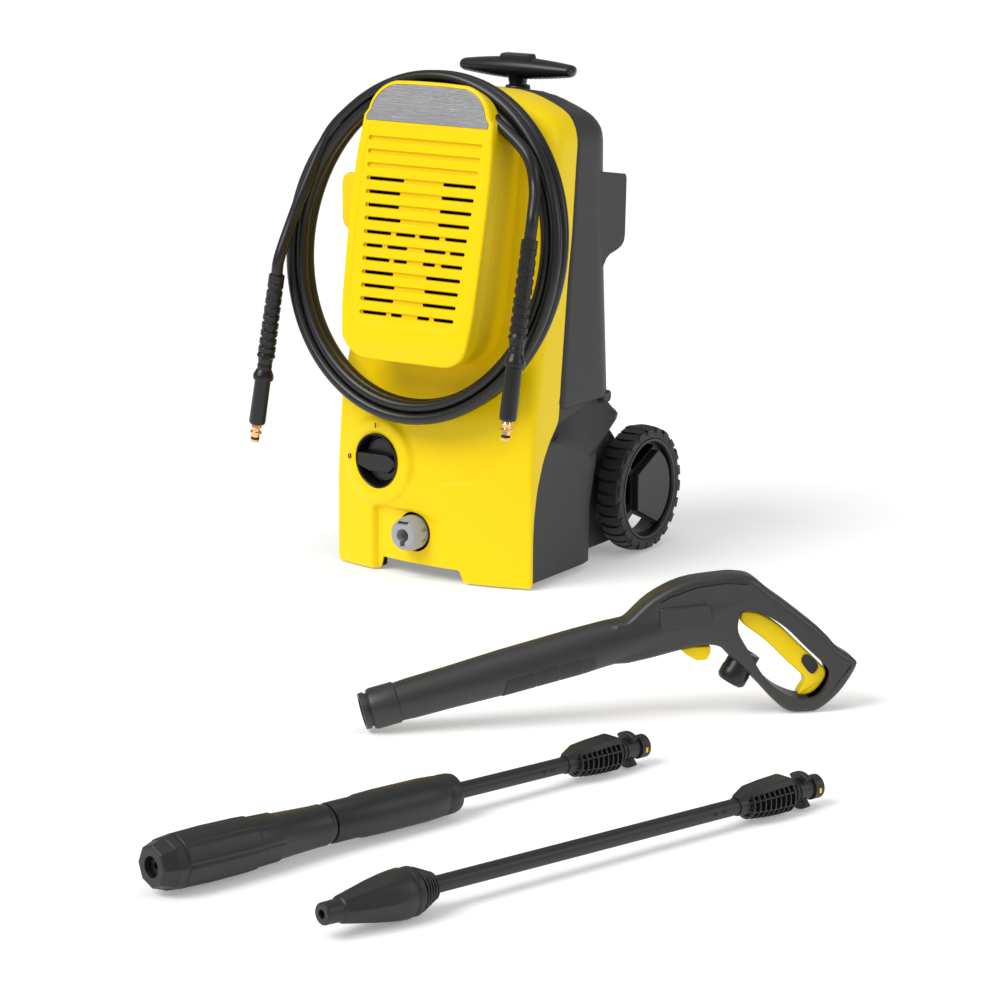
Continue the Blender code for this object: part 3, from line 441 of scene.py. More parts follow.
def make_fitting(label, top, foot):
    """Bend sleeve of offset ribs, flared collar, smooth grip and the brass nipple."""
    way = (foot - top).normalized()
    length = (foot - top).length
    bm = turned([(7.3, 0), (8.6, 0), (8.6, length * 0.53), (7.3, length * 0.53)], top, way, 40)
    pitch = length * 0.5 / 9.4
    for i in range(10):
        s = 0.4 + i * pitch
        tall = pitch * (0.62 if i else 0.95)
        radius = 9.5 + 0.12 * i
        turned([(8.2, s), (radius - 0.5, s), (radius, s + 0.6), (radius, s + tall - 0.6),
                (radius - 0.5, s + tall), (8.2, s + tall)], top, way, 40, bm)
    side = way.cross(Vector((0, 1, 0))).normalized()
    ahead = side.cross(way).normalized()
    for i in range(9):
        s = 0.4 + i * pitch + pitch * 0.5
        for sign in (-1, 1):
            across = (side * 0.92 - ahead * 0.38) if i % 2 else (side * 0.38 + ahead * 0.92)
            middle = top + way * (s + pitch * 0.28) + across * sign * 8.6
            flat = across.cross(way).normalized()
            corners = []
            for u, v in ((-2.6, -pitch * 0.5), (2.6, -pitch * 0.5), (2.6, pitch * 0.5),
                         (-2.6, pitch * 0.5)):
                corners.append(middle + flat * u + way * v)
            rings = [[c + across * sign * d for c in corners] for d in (-1.5, 1.0)]
            loft(rings, bm=bm)
    sleeve = add("bend_sleeve_" + label, bm, "black_plastic", "root")
    profile = [(6.0, length * 0.52), (9.6, length * 0.52), (11.0, length * 0.535), (11.2, length * 0.545),
               (9.4, length * 0.555), (9.0, length * 0.575), (8.6, length * 0.585), (8.6, length * 0.597),
               (9.1, length * 0.602), (9.1, length * 0.615), (8.8, length * 0.62), (8.8, length * 0.632),
               (9.6, length * 0.638), (11.6, length * 0.662), (12.4, length * 0.672), (12.5, length * 0.69),
               (12.0, length * 0.7), (9.6, length * 0.705), (9.7, length * 0.72), (10.1, length * 0.98),
               (9.6, length * 0.995), (8.8, length), (5.0, length)]
    grip = add("hose_grip_" + label + "_outer", turned(profile, top, way, 48), "black_plastic", "root",
               ["hose_grip_" + label])
    end = length
    nipple = turned([(0, end - 20), (4.6, end - 20), (4.6, end + 0.5), (5.6, end + 1), (6.4, end + 4),
                     (5.0, end + 6), (4.9, end + 9), (7.4, end + 10), (7.4, end + 11.4), (5.0, end + 12.4),
                     (5.0, end + 16.5), (4.2, end + 17), (4.2, end + 19), (5.1, end + 19.6),
                     (5.1, end + 22),
                     (4.4, end + 23), (3.0, end + 23.2), (3.0, end + 17), (0, end + 17)], top, way, 40)
    brass = add("nipple_" + label, nipple, "brass", "root", ["hose_nipple_" + label])
    ring = turned([(4.0, end + 16.8), (5.3, end + 17.2), (5.3, end + 18.8), (4.0, end + 19.2)], top, way,
                  32)
    seal = add("seal_" + label, ring, "soft_rubber", "root")
    return [sleeve, grip, brass, seal]


make_hose()


# ---------------------------------------------------------------- the body's form
def half_width(z):
    if z < 400:
        return BODY_HALF - (BODY_HALF - BODY_HALF_TOP) * min(max((z - 200) / 200, 0), 1)
    return between(HALF_TABLE, z)


def body_top(z, y):
    """The roof falls towards the rear."""
    return z - ROOF_FALL * max(y - 100, 0) * ease(z, 490, 562)


def front_y(x, z):
    return smooth_table(FRONT_LINE, z) + x * x / (2 * FRONT_RADIUS)


def seam_y(z):
    return smooth_table(SEAM_LINE, z, 7)


DISH_LINE = [(-60, 108), (-30, 110), (10, 112), (45, 116), (62, 120), (76, 127), (89, 137), (100, 149),
             (109, 163), (115, 180), (118, 200), (119.5, 230), (120, 330)]


def dish_side(x, z):
    """Signed distance to the dish's border, positive inside it."""
    best, sign = 1e9, 1
    for (ax, az), (bx, bz) in zip(DISH_LINE, DISH_LINE[1:]):
        dx, dz = bx - ax, bz - az
        t = min(max(((x - ax) * dx + (z - az) * dz) / (dx * dx + dz * dz), 0), 1)
        px, pz = x - ax - t * dx, z - az - t * dz
        d = math.hypot(px, pz)
        if d < best:
            best = d
            sign = 1 if dx * pz - dz * px > 0 else -1
    return best * sign


def relief(x, z):
    """How far the front stands out of its plain surface."""
    out = 0.0
    if z < 345 and abs(x) < 128:
        dish = ease(dish_side(x, z), -1.5, 8.5) * 3.0 * ease(x, -75, -25) * (1 - ease(z, 300, 345))
        out -= dish
    r = math.hypot(x - DIAL_CENTRE[0], z - DIAL_CENTRE[1])
    if r < 60:
        plateau = 3.0 * (1 - ease(r, 48, 54.5))
        out = out * ease(r, 46, 56) + plateau
        out -= 1.6 * (1 - ease(r, 33, 37.5))
    roof = 81 - 0.0035 * max(x + 30, 0) ** 2 - 0.02 * max(-62 - x, 0) ** 2
    if z < 92 and -95 < x < 60:
        deep = 7.5 * min(max((36 - x) / 105, 0), 1)
        inside = ease(x, -79, -71.5) * (1 - ease(z, roof - 4.5, roof + 2))
        out -= deep * inside
    return out


ROWS = [2, 4, 8, 13, 18, 24, 30, 36]
z = 40.0
while z < 240:
    ROWS.append(z)
    z += 2.2
while z < 500:
    ROWS.append(z)
    z += 7
while z < 562:
    ROWS.append(z)
    z += 3.2
ROWS += [563, 565, 567, 569, 570.5, 571.3, 571.8, 572]


def front_ring(z):
    """The front's outline from the right seam round to the left one, at one level."""
    half = half_width(z)
    corner = 4 + 26 * min(max((z - 100) / 400, 0), 1)
    corner = min(corner, half * 0.6)
    roll = max(z - 556, 0) / 16
    push = 13 * (1 - math.sqrt(max(1 - roll * roll, 0)))
    flat = half - corner
    points = []
    steps = 110
    for i in range(steps + 1):
        x = flat * (1 - 2 * i / steps)
        y = front_y(x, z) + push
        points.append([x, y - relief(x, z)])
    shoulder = front_y(flat, z) + push + corner
    right = arc(flat, shoulder, corner, 0, -84, 7)
    seam = max(seam_y(z), shoulder + 0.5)
    side = [(half, seam + (shoulder - seam) * i / 4) for i in range(4)]
    left = [(-x, y) for x, y in reversed(right)]
    left_side = [(-x, y) for x, y in reversed(side)]
    return side + right + points[1:-1] + left + left_side


def low_edge(x):
    """The front shell's lower edge: an arch between two feet."""
    return 2 + 15 * ease(x, -72, -65) * (1 - ease(x, 47, 56))


def make_front():
    rings = []
    for z in ROWS:
        ring = []
        for x, y in front_ring(z):
            lift = z if z >= 40 else low_edge(x) + (z - 2) / 38 * (40 - low_edge(x))
            fold = 1.5 * (1 - ease(z, 2, 9)) if lift < 12 else 0
            ring.append((x * (1 - fold / 137), y + fold * 0.4, body_top(lift, y)))
        rings.append(ring)
    bm = loft(rings, closed=False)
    last = bm.verts[:][-len(rings[-1]):]
    bm.faces.new(last)
    front = add("front_shell_outer", bm, "yellow_shell", "root", ["front_shell"], smooth=40,
                facing=(0, -1, 0))
    thick = front.modifiers.new("wall", "SOLIDIFY")
    thick.thickness = 3 * MM
    thick.offset = -1
    normal = dial_normal()
    cut(front, cylinder(33.2, -40, 30, dial_point(0), normal, 96))
    hole = cylinder(24.0, -70, 40, (OUTLET_CENTRE[0], 0, OUTLET_CENTRE[1]), (0, 1, 0), 72)
    cut(front, hole)
    shade(front, 40)


def dial_normal():
    return Vector((-math.sin(DIAL_TURN), -math.cos(DIAL_TURN), 0))


def dial_point(out):
    x, z = DIAL_CENTRE
    y = between(FRONT_LINE, z) + x * x / (2 * FRONT_RADIUS)
    return Vector((x, y, z)) + dial_normal() * out


make_front()


# ---------------------------------------------------------------- dark shells
def rear_ring(z):
    half = half_width(z)
    rear = BODY_REAR - (9 * ease(z, 520, 572))
    corner = min(REAR_CORNER, half * 0.8)
    seam = seam_y(z) + GAP
    start = rear - corner
    side = [(half, seam + (start - seam) * i / 6) for i in range(6)]
    right = arc(half - corner, start, corner, 0, 90, 14)
    middle = [((half - corner) * (1 - 2 * i / 8), rear) for i in range(1, 8)]
    left = [(-x, y) for x, y in reversed(right)]
    left_side = [(-x, y) for x, y in reversed(side)]
    return side + right + middle + left + left_side


def make_rear():
    rings = []
    zs = [z for z in ROWS if z > 215 and (z > 480 or int(z) % 3 == 0)]
    for t in (0, 0.5):
        ring = []
        for x, y in rear_ring(206):
            base = 203.4 if y > 60 else 211
            ring.append((x, y, base + t * 8))
        rings.append(ring)
    for z in zs:
        rings.append([(x, y, body_top(z, y)) for x, y in rear_ring(z)])
    bm = loft(rings, closed=False)
    bm.faces.new(bm.verts[:][-len(rings[-1]):])
    rear = add("rear_shell_outer", bm, "dark_shell", "root", ["rear_shell", "holder_left", "holder_right"],
               smooth=30, facing=(0, 1, 0))
    thick = rear.modifiers.new("wall", "SOLIDIFY")
    thick.thickness = 3 * MM
    thick.offset = -1
    for side, label in ((-1, "left"), (1, "right")):
        outline = [(150, 346), (158, 351), (164, 358), (172, 367), (180, 371), (194, 373.5), (206, 377),
                   (212, 382), (214.5, 390), (217.5, 458), (215, 463), (150, 474)]
        x0, x1 = sorted((side * 99, side * 129.6))
        holder = prism(outline, x0, x1, "YZ")
        piece = add("holder_outer_" + label, holder, "dark_shell", "root", smooth=30)
        cut(piece, box((min(side * 103.5, side * 125.5), 192, 392),
                       (max(side * 103.5, side * 125.5), 213, 490)))
        shade(piece, 30)
        round_edges(piece, 3.0, 3, 30)


RIDGE = [(20, 176), (49, 180), (137, 199.5), (170, 196), (200, 192)]
SOFT_EDGE = [(20, 172), (38, 172), (126, 140), (189, 173), (200, 190)]


def fairing_ring(z, side):
    """Plan outline of a wheel fairing: the side, the slanted rear edge with its chamfer, and the back."""
    seam = seam_y(z) + GAP
    back = between([(8, 108), (76, 110), (125, 124), (140, 127), (173, 187), (192, 178), (200, 165)], z)
    strip = between([(8, 19), (125, 19), (140, 17), (173, 9), (200, 6)], z)
    plan = [(112, seam), *[(137, seam + (back - seam) * i / 10) for i in range(11)], (133, back + strip),
            (112, back + strip)]
    ring = []
    for x, y in plan:
        top = between(RIDGE, y)
        edge = between(SOFT_EDGE, y)
        lift = min(z, top)
        tuck = 10.0 * min(max((lift - edge) / max(top - edge, 3), 0), 1) if x > 115 else 0
        ring.append((side * (x - tuck), y, lift))
    return ring


def make_fairing():
    levels = [8, 12, 30, 50, 70, 76, 87, 100, 112, 125, 132, 140, 146, 152, 158, 164, 170, 176, 180, 184,
              188, 192,
              196, 200]
    for side, label in ((1, "right"), (-1, "left")):
        piece = add("fairing_" + label, loft([fairing_ring(z, side) for z in levels]), "dark_shell", "root",
                    smooth=18)
        round_edges(piece, 1.4, 3, 22)
    outline = [(2, 12), (240, 12), (258, 30), (262, 80), (250, 112), (195, 168), (195, 202.5), (162, 203),
               (56, 210)]
    seam = [(y + GAP, z) for z, y in SEAM_LINE if 80 < z < 170]
    tail = prism(outline + seam[::-1], -111.5, 111.5, "YZ")
    add("chassis_outer", tail, "dark_shell", "root", ["chassis"], smooth=25, bevel=1.2)
    base = [(42, 165), (168, 165), (166, 203.4), (162, 204.4), (56, 211.4), (47, 190)]
    band = prism(base, -127, 127, "YZ")
    add("ledge_band", band, "dark_shell", "root", smooth=25, bevel=0.8)
    clip = prism([(158, 196), (172, 194), (176, 198), (176, 206), (172, 209), (158, 208)], 118, 135.5, "YZ")
    add("ledge_clip", clip, "dark_shell", "root", smooth=25, bevel=2.5)


make_rear()
make_fairing()


# ---------------------------------------------------------------- louvred cover and column
def cover_outline(inset=0.0, top=COVER_TOP, bottom=COVER_BOTTOM, steps=10):
    widths = [(290, 85), (320, 92), (420, 95), (500, 94), (541, 89)]
    right = [(x, bottom + inset) for x in (8, 22, 36)]
    right += arc(52, bottom + 37, 37 - inset, -86, -15, steps)
    heights = [bottom + 37 + (545 - bottom - 37) * i / 12 for i in range(1, 13)]
    right += [(smooth_table(widths, z, 14) - inset, z) for z in heights]
    right += arc(42, top - 43, 43 - inset, 10, 80, steps)
    right += [(30, top - inset + 0.2), (12, top - inset + 0.6)]
    left = [(-x, z) for x, z in reversed(right)]
    return right + left


def cover_place(x, deep, z):
    return (x, COVER_FACE_Y + COVER_TILT * z + deep, z)


def chin(z):
    """The face falls back towards the foot of the cover."""
    return 6.5 * (1 - ease(z, COVER_BOTTOM - 2, 300)) ** 1.3


PANEL_TOP = 533.0


def groove(x0, x1, z, deep, half, bm):
    outline = arc(x1 - half, z, half, -90, 90, 8) + arc(x0 + half, z, half, 90, 270, 8)
    rings = [[cover_place(x, d, q) for x, q in outline] for d in (-3, deep)]
    loft(rings, bm=bm)


# where the open stretches in a groove's foot stop and start again, as shares of its half length;
# the first one starts and the last one ends a fixed margin inside the groove
OPENINGS = {
    3: (-0.33, 0.38),
    4: (-0.38, 0.38),
    5: (-0.38, 0.38),
    6: (-0.33, 0.38),
    7: (-0.49, -0.4, -0.02, 0.05, 0.45, 0.55),
    8: (-0.64, -0.55, -0.15, 0.18, 0.6, 0.68),
    9: (-0.48, -0.4, -0.13, 0.18, 0.43, 0.54),
    10: (-0.38, 0.28),
    11: (-0.33, 0.28),
    12: (-0.33, 0.28),
    13: (-0.45, -0.36, -0.12, 0.2, 0.46, 0.55),
}
LEFT_MARGIN, RIGHT_MARGIN, LAST_ROW_RIGHT_MARGIN = 2.4, 1.2, 1.6


def slot_half(z):
    return 65.4 + (79 - 65.4) * (z - 320.6) / (SLOT_FIRST - 320.6)


def arch_outline(inset, floor):
    """The part of the cover's outline above a straight lower edge."""
    upper = [point for point in cover_outline(inset) if point[1] > floor + 1]
    return [(upper[0][0], floor), *upper, (upper[-1][0], floor)]


def make_cover():
    def at_ring(inset, deep, bottom=COVER_BOTTOM, clamp=None, lean=True):
        ring = []
        for x, z in cover_outline(inset, COVER_TOP, bottom):
            if clamp is not None:
                z = min(z, clamp)
            away = max(deep, 0) / COVER_DEPTH
            z -= 9 * away * ease(z, 530, 587)
            ring.append(cover_place(x * (1 - 0.025 * away), deep + (chin(z) if lean else 0), z))
        return ring
    rings = [at_ring(0, COVER_DEPTH, lean=False), at_ring(0, 12, lean=False), at_ring(0, 5.5, lean=True),
             at_ring(0.25, 3.0), at_ring(1.2, 1.2), at_ring(2.6, 0.25), at_ring(4.2, 0)]
    for share in (0.25, 0.5, 0.75):
        rings.append(at_ring(4.2 + 6 * share, 0, COVER_BOTTOM + 27 * share,
                             586 - (586 - PANEL_TOP - 3) * share))
    rings += [at_ring(10.2, 0, 293, PANEL_TOP + 3), at_ring(11.0, 0.15, 295.5, PANEL_TOP + 2),
              at_ring(12.2, 1.1, 298.5, PANEL_TOP), at_ring(13.0, 1.25, 300, PANEL_TOP - 0.6)]
    bm = loft(rings, caps=False)
    inner = bm.verts[:][-len(rings[-1]):]
    bm.faces.new(inner)
    cover = add("front_cover_outer", bm, "yellow_shell", "root", ["front_cover"], smooth=38,
                facing=(0, -1, 0))
    thick = cover.modifiers.new("wall", "SOLIDIFY")
    thick.thickness = 4.2 * MM
    thick.offset = -1
    grooves = bmesh.new()
    holes = bmesh.new()
    for row in range(14):
        z = SLOT_FIRST - SLOT_PITCH * row
        reach = slot_half(z)
        groove(-reach, reach, z, 4.7, 2.7, grooves)
        if row in OPENINGS:
            right_margin = LAST_ROW_RIGHT_MARGIN if row == 13 else RIGHT_MARGIN
            ends = [-reach + LEFT_MARGIN, *(share * reach for share in OPENINGS[row]), reach - right_margin]
            for a, b in zip(ends[::2], ends[1::2]):
                groove(a, b, z - 0.7, 12, 1.85, holes)
    cut(cover, grooves)
    cut(cover, holes)
    seat_rings = [[cover_place(x, d, q) for x, q in arch_outline(5.0, 538.5)] for d in (-3, 0.9)]
    cut(cover, loft(seat_rings))
    shade(cover, 38)
    round_edges(cover, 0.45, 2, 38)
    plate_rings = [[cover_place(x, d, q) for x, q in arch_outline(5.5, 539)] for d in (2.2, -0.25)]
    badge = add("badge_outer", loft(plate_rings), "brushed_plate", "root", ["badge_plate"],
                smooth=30)
    round_edges(badge, 0.35, 2, 30)
    # a near-black sheet behind the slots: painted shade, so that the openings read dark
    back = [(x, q) for x, q in cover_outline(9.0)]
    shade_sheet_rings = [[cover_place(x, d, q) for x, q in back] for d in (19, 21)]
    add("cover_shade_sheet", loft(shade_sheet_rings), "pit", "root")


def make_column():
    """The tunnel behind the cover; its sides carry on from the cover's and it sinks into the body."""
    rings = []
    for depth in (0.3, 14, 30, 50, 75, 100, 125):
        ring = []
        for x, z in cover_outline(0.3, COVER_TOP - 9, COVER_BOTTOM + 3):
            y = COVER_FACE_Y + COVER_TILT * z + COVER_DEPTH + depth
            spread = 0.975 - 0.02 * ease(depth, 0, 60)
            drop = -10 * ease(depth, 0, 60) * (1 - ease(z, 266, 300))
            arch = -26 * ease(depth, 0, 14) * ease(z, 520, 575)
            ring.append((x * spread, y, z + drop + arch))
        rings.append(ring)
    # the column takes the darker yellow_deep: painted shade, since its walls lie in the cover's shadow
    add("hose_column_outer", loft(rings), "yellow_deep", "root", ["hose_column"], smooth=40)
    tab = prism([(-90, 404), (-120, 404), (-126, 408), (-129, 416), (-129, 462), (-126, 469), (-120, 472),
                 (-90, 472)],
                -5, 3, "XZ")
    add("hose_tab", tab, "yellow_shell", "root", bevel=2.2)


make_cover()
make_column()


# ---------------------------------------------------------------- dial and outlet
def dial_matrix():
    turn = Matrix((Vector((math.cos(DIAL_TURN), -math.sin(DIAL_TURN), 0)), Vector((0, 0, 1)),
                   dial_normal())).transposed().to_4x4()
    return Matrix.Translation(dial_point(0)) @ turn


def make_dial():
    normal = dial_normal()
    centre = dial_point(0)
    bezel = turned([(33.0, 2.6), (32.6, 3.0), (31.4, 2.6), (30.6, 1.0), (29.4, -5), (29.0, -13.6),
                    (12, -15),
                    (12, -17), (33.0, -17)], centre, normal, 96)
    add("dial_bezel_outer", bezel, "black_plastic", "root", ["dial_bezel"], smooth=50)
    knob = turned([(0, -14.4), (27.2, -13.4), (27.2, -11.5), (25.2, -8.6), (20, -8.0), (0, -7.8)], centre,
                  normal, 96)
    add("dial_knob_outer", knob, "black_plastic", "dial", ["dial_knob"], smooth=40)
    place = dial_matrix()
    wedge = [(-26.5, -6.8, 6.2), (-26.5, 5.0, 6.2), (-22.0, 8.6, 9.5), (18.0, 8.0, 2.0), (24.0, 2.0, -4.0),
             (24.0, -5.0, -6.0), (14.0, -13.5, -3.0), (-10.0, -12.5, 5.0)]
    top = [place @ Vector(p) for p in wedge]
    foot = [place @ Vector((p[0] * 1.0, p[1] * 1.15 - 0.5, -9.0)) for p in wedge]
    bar = loft([foot, top])
    add("dial_bar", bar, "black_plastic", "dial", smooth=25, bevel=1.2)
    ink = bmesh.new()
    stroke = [(-0.45, 40), (0.45, 40), (0.45, 46), (-0.45, 46)]
    loft([[place @ Vector((a, b, d)) for a, b in stroke] for d in (2.2, 3.35)], bm=ink)
    add("mark_on", ink, "ink", "root", smooth=0)
    ring = bmesh.new()
    steps = 28
    for k in range(steps):
        quad = []
        for rr, kk in ((3.0, k), (3.0, k + 1), (2.3, k + 1), (2.3, k)):
            t = 2 * math.pi * kk / steps
            quad.append((-43.0 + rr * 0.75 * math.cos(t), rr * math.sin(t)))
        loft([[place @ Vector((a, b, d)) for a, b in quad] for d in (2.0, 3.25)], bm=ring)
    add("mark_off", ring, "ink", "root", smooth=0)


def make_outlet():
    x, z = OUTLET_CENTRE
    base = (x, between(FRONT_LINE, z) + x * x / (2 * FRONT_RADIUS) + 0.0, z)
    # the cup in the outlet hole is near-black pit: painted shade inside the hole
    cup = turned([(10, 46), (27.5, 46), (27.5, 14), (24.4, 9.5), (23.4, 10.5), (23.0, 38), (10, 38)], base,
                 (0, 1, 0), 72)
    add("outlet_cup", cup, "pit", "root", ["outlet_housing"], smooth=40)
    collar = turned([(6.5, 34), (17, 34), (18, 20), (18.4, 6), (18.4, 3), (20.8, 2.2), (20.8, -7),
                     (20.2, -8.5),
                     (19.6, -13), (18.6, -17), (16.4, -20.2), (14.5, -21.4), (8.6, -21.4), (7.8, -20.6),
                     (7.4, -8), (6.5, -6)], base, (0, 1, 0), 80)
    piece = add("outlet_release_outer", collar, "grey_plastic", "outlet_release", ["outlet_release"],
                smooth=35)
    key = box((x - 3.4, base[1] - 40, z - 13.0), (x + 3.4, base[1] - 3, z - 4))
    cut(piece, key)
    slot_cut = box((x - 7.0, base[1] - 40, z + 13.5), (x + 7.0, base[1] - 12, z + 16.8))
    cut(piece, slot_cut)
    for turn in range(10):
        angle = math.radians(36 * turn + 18)
        px, pz = x + 21.2 * math.cos(angle), z + 21.2 * math.sin(angle)
        if 40 < math.degrees(angle) % 360 < 140:
            continue
        bm = cylinder(2.2, -8.5, -1.0, (px, base[1], pz), (0, 1, 0), 16)
        cut(piece, bm)
    shade(piece, 35)
    round_edges(piece, 0.5, 2, 40)
    core = turned([(0, 10), (5.9, 10), (5.9, -2), (4.2, -3), (0, -3)], base, (0, 1, 0), 32)
    add("outlet_core", core, "black_plastic", "root")


make_dial()
make_outlet()


# ---------------------------------------------------------------- handle
def make_handle():
    rings = []
    steps = 56
    grip_half = 79.5
    for i in range(steps + 1):
        s = -1 + 2 * i / steps
        x = grip_half * s
        share = abs(s)
        end = math.sqrt(max(1 - max(share - 0.94, 0) ** 2 / 0.06 ** 2, 0.02))
        tall = (13.0 - 6.4 * share ** 1.7) * end
        deep = (16.0 - 6.0 * share ** 2) * end
        ring = []
        for k in range(40):
            angle = 2 * math.pi * k / 40
            c, q = math.cos(angle), math.sin(angle)
            low_rib = 0.0
            if q < -0.15 and share < 0.9:
                low_rib = 0.5 * (1 if i % 2 else -1) * min(1, (-q - 0.15) * 3)
            ring.append((x, HANDLE_Y + (deep + low_rib) * c, GRIP_HEIGHT - 3.2 + (tall + low_rib) * q))
        rings.append(ring)
    add("handle_grip_outer", loft(rings), "black_plastic", "handle", ["handle_grip"],
               smooth=60)
    neck = turned([(8.9, 553.4), (10.6, 553.4), (10.6, 566), (12.0, 573), (16.0, 579), (18, 583),
                   (8.9, 586)],
                  (0, HANDLE_Y, 0), (0, 0, 1), 48)
    add("handle_neck", neck, "black_plastic", "handle", smooth=60)
    slab = [(-20, -8.5), (20, -8.5), (20, 8.5), (-20, 8.5)]
    foot = [(x * 1.06, HANDLE_Y + y * 1.1, 593) for x, y in slab]
    mid = [(x, HANDLE_Y + y, 599.5) for x, y in slab]
    top = [(x * 0.97, HANDLE_Y + y * 0.9, 601.5) for x, y in slab]
    add("handle_button_outer", loft([foot, mid, top]), "black_plastic", "handle_button", ["handle_button"],
        smooth=30, bevel=0.8)
    collar = turned([(10.9, 540), (15, 540), (15, 562.5), (14, 564.0), (10.9, 564.0)], (0, HANDLE_Y, 0),
                    (0, 0, 1), 48)
    add("handle_collar", collar, "black_plastic", "root", ["handle_guide"], smooth=40)


make_handle()


# ---------------------------------------------------------------- wheels
def make_wheel(side, label):
    body = "wheel_" + label
    middle = Vector((side * WHEEL_MID, WHEEL_Y, WHEEL_RADIUS))
    axis = (side, 0, 0)
    half = WHEEL_WIDTH / 2
    core = turned([(62.2, -half + 2), (70, -half + 1), (73.0, -half + 3.5), (74.0, -half + 7),
                   (74.0, half - 7),
                   (73.0, half - 3.5), (70, half - 1), (65, half - 0.4), (62.2, half - 1.6)], middle, axis,
                  120)
    add("tyre_outer_" + label, core, "tyre", body, ["tyre_" + label], smooth=35)
    blocks = bmesh.new()
    count = 11
    for i in range(count):
        base_angle = 2 * math.pi * i / count
        for part in range(3):
            a0 = base_angle + part * 0.188
            wide = 0.148
            lows = (-half + 3.5, -5.0, 5.0, half - 3.5)
            profile = [(lows[0], 0), (lows[1], 2.0 + part), (lows[2], 2.0 + part), (lows[3], 0)]
            if part == 2:
                profile = [(-half + 1.2, 0), (-4, 3.0), (4, 3.0), (half - 1.2, 0)]
            ring_low, ring_high = [], []
            front_edge = [(h, a0 + sweep * 0.012) for h, sweep in profile]
            rear_edge = [(h, a0 + wide + sweep * 0.012) for h, sweep in reversed(profile)]
            for radius, store in ((73.2, ring_low), (WHEEL_RADIUS - 0.1, ring_high)):
                for h, angle in front_edge + rear_edge:
                    drop = 1.6 if abs(h) > half - 6 and radius > 75 else 0
                    r = radius - drop
                    store.append(middle + Vector((side * h, r * math.cos(angle), r * math.sin(angle))))
            loft([ring_low, ring_high], bm=blocks)
        for k in range(2):
            a = base_angle + 0.06 + k * 0.285
            bump = []
            for radius in (65.5, 73.5):
                for angle in (a, a + 0.17) if radius < 70 else (a + 0.17, a):
                    bump.append((radius, angle))
            rings = []
            for h in (half - 1.5, half + 0.0):
                rings.append([middle + Vector((side * h, r * math.cos(t), r * math.sin(t))) for r,
                              t in bump])
            loft(rings, bm=blocks)
    add("tread_" + label, blocks, "tyre", body, smooth=25, bevel=0.5)
    rim = turned([(55.5, -half + 3), (61.9, -half + 2), (61.9, half - 1.8), (61.0, half - 0.6),
                  (58.6, half - 0.6),
                  (57.6, half - 1.6), (56.4, half - 6), (55.5, -half + 6)], middle, axis, 120)
    hub = turned([(5.3, -half + 2), (12, -half + 2), (12, half - 12), (5.3, half - 12)], middle, axis, 40)
    dish = turned([(5.3, half - 13.2), (56.6, half - 13.2), (56.6, half - 9.8), (5.3, half - 9.8)], middle,
                  axis, 96)
    add("wheel_rim_" + label, rim, "black_plastic", body, smooth=35)
    disc = add("wheel_disc_" + label, dish, "lance_plastic", body, ["wheel_" + label],
               smooth=30)
    holes = bmesh.new()
    left = [(-29, -20), (-46, -29), *arc(0, 0, 54.5, 212, 148, 8), (-46, 29), (-29, 20)]
    upper = [(-25, 27), (-40, 36), *arc(0, 0, 54.5, 138, 64, 10), (22, 47)]
    lower = [(a, -b) for a, b in upper]
    for outline in (left, upper, lower):
        prism([(WHEEL_Y + a, WHEEL_RADIUS + b) for a, b in outline], middle.x - 30, middle.x + 30, "YZ",
              holes)
    cut(disc, holes)
    shade(disc, 30)
    round_edges(disc, 0.8, 2, 30)
    slab = [(-27, -22), *arc(0, 0, 49, -66, 64, 16), (-27, 22)]
    lo, hi = sorted((middle.x + side * (half - 9.9), middle.x + side * (half - 1.2)))
    plate = prism([(WHEEL_Y + a, WHEEL_RADIUS + b) for a, b in slab], lo, hi, "YZ")
    add("wheel_plate_" + label, plate, "lance_plastic", body, smooth=30, bevel=0.8)
    # a near-black sheet behind the wheel disc's openings: painted shade seen through them
    inner = [(WHEEL_Y + a, WHEEL_RADIUS + b) for a, b in arc(0, 0, 58, 10, 215, 20)]
    add("wheel_shade_sheet_" + label, prism(inner, middle.x - side * 8, middle.x - side * 6, "YZ"), "pit", body)
    add("wheel_hub_" + label, hub, "black_plastic", body, smooth=35)


make_wheel(-1, "left")
make_wheel(1, "right")


# ---------------------------------------------------------------- spray gun
def gun_place():
    place = Matrix.Translation((GUN_FOOT[0], GUN_FOOT[1], GUN_LIFT))
    return place @ Matrix.Rotation(GUN_TURN, 4, "Z")


def gun_piece(name, bm, look, body="gun", replaced=(), smooth=35, bevel=0.0):
    bmesh.ops.transform(bm, matrix=gun_place(), verts=bm.verts)
    return add(name, bm, look, body, replaced, smooth, bevel)


def gun_tool(bm):
    bmesh.ops.transform(bm, matrix=gun_place(), verts=bm.verts)
    return bm


def barrel_axis(s):
    return (s, 0, 28 + math.tan(GUN_SLOPE) * s)


def rounded_sides(outline, half, edge, steps=4):
    """A flat body with rounded long edges, from an outline of S and Z."""
    centre = (sum(p[0] for p in outline) / len(outline), sum(p[1] for p in outline) / len(outline))
    count = len(outline)
    normals = []
    area = sum(outline[i][0] * outline[(i + 1) % count][1] - outline[(i + 1) % count][0] * outline[i][1]
               for i in range(count))
    sign = 1 if area > 0 else -1
    for i in range(count):
        a, b = Vector(outline[i - 1]), Vector(outline[(i + 1) % count])
        d = (b - a).normalized()
        normals.append(Vector((d.y, -d.x)) * sign)
    rings = []
    angles = [90 * k / steps for k in range(steps + 1)]
    for angle in angles:
        t = math.radians(angle)
        inset = edge * (1 - math.sin(t))
        depth = -half + edge * (1 - math.cos(t))
        rings.append([(p[0] - n.x * inset, depth, p[1] - n.y * inset) for p, n in zip(outline, normals)])
    for angle in reversed(angles):
        t = math.radians(angle)
        inset = edge * (1 - math.sin(t))
        depth = half - edge * (1 - math.cos(t))
        rings.append([(p[0] - n.x * inset, depth, p[1] - n.y * inset) for p, n in zip(outline, normals)])
    return loft(rings)


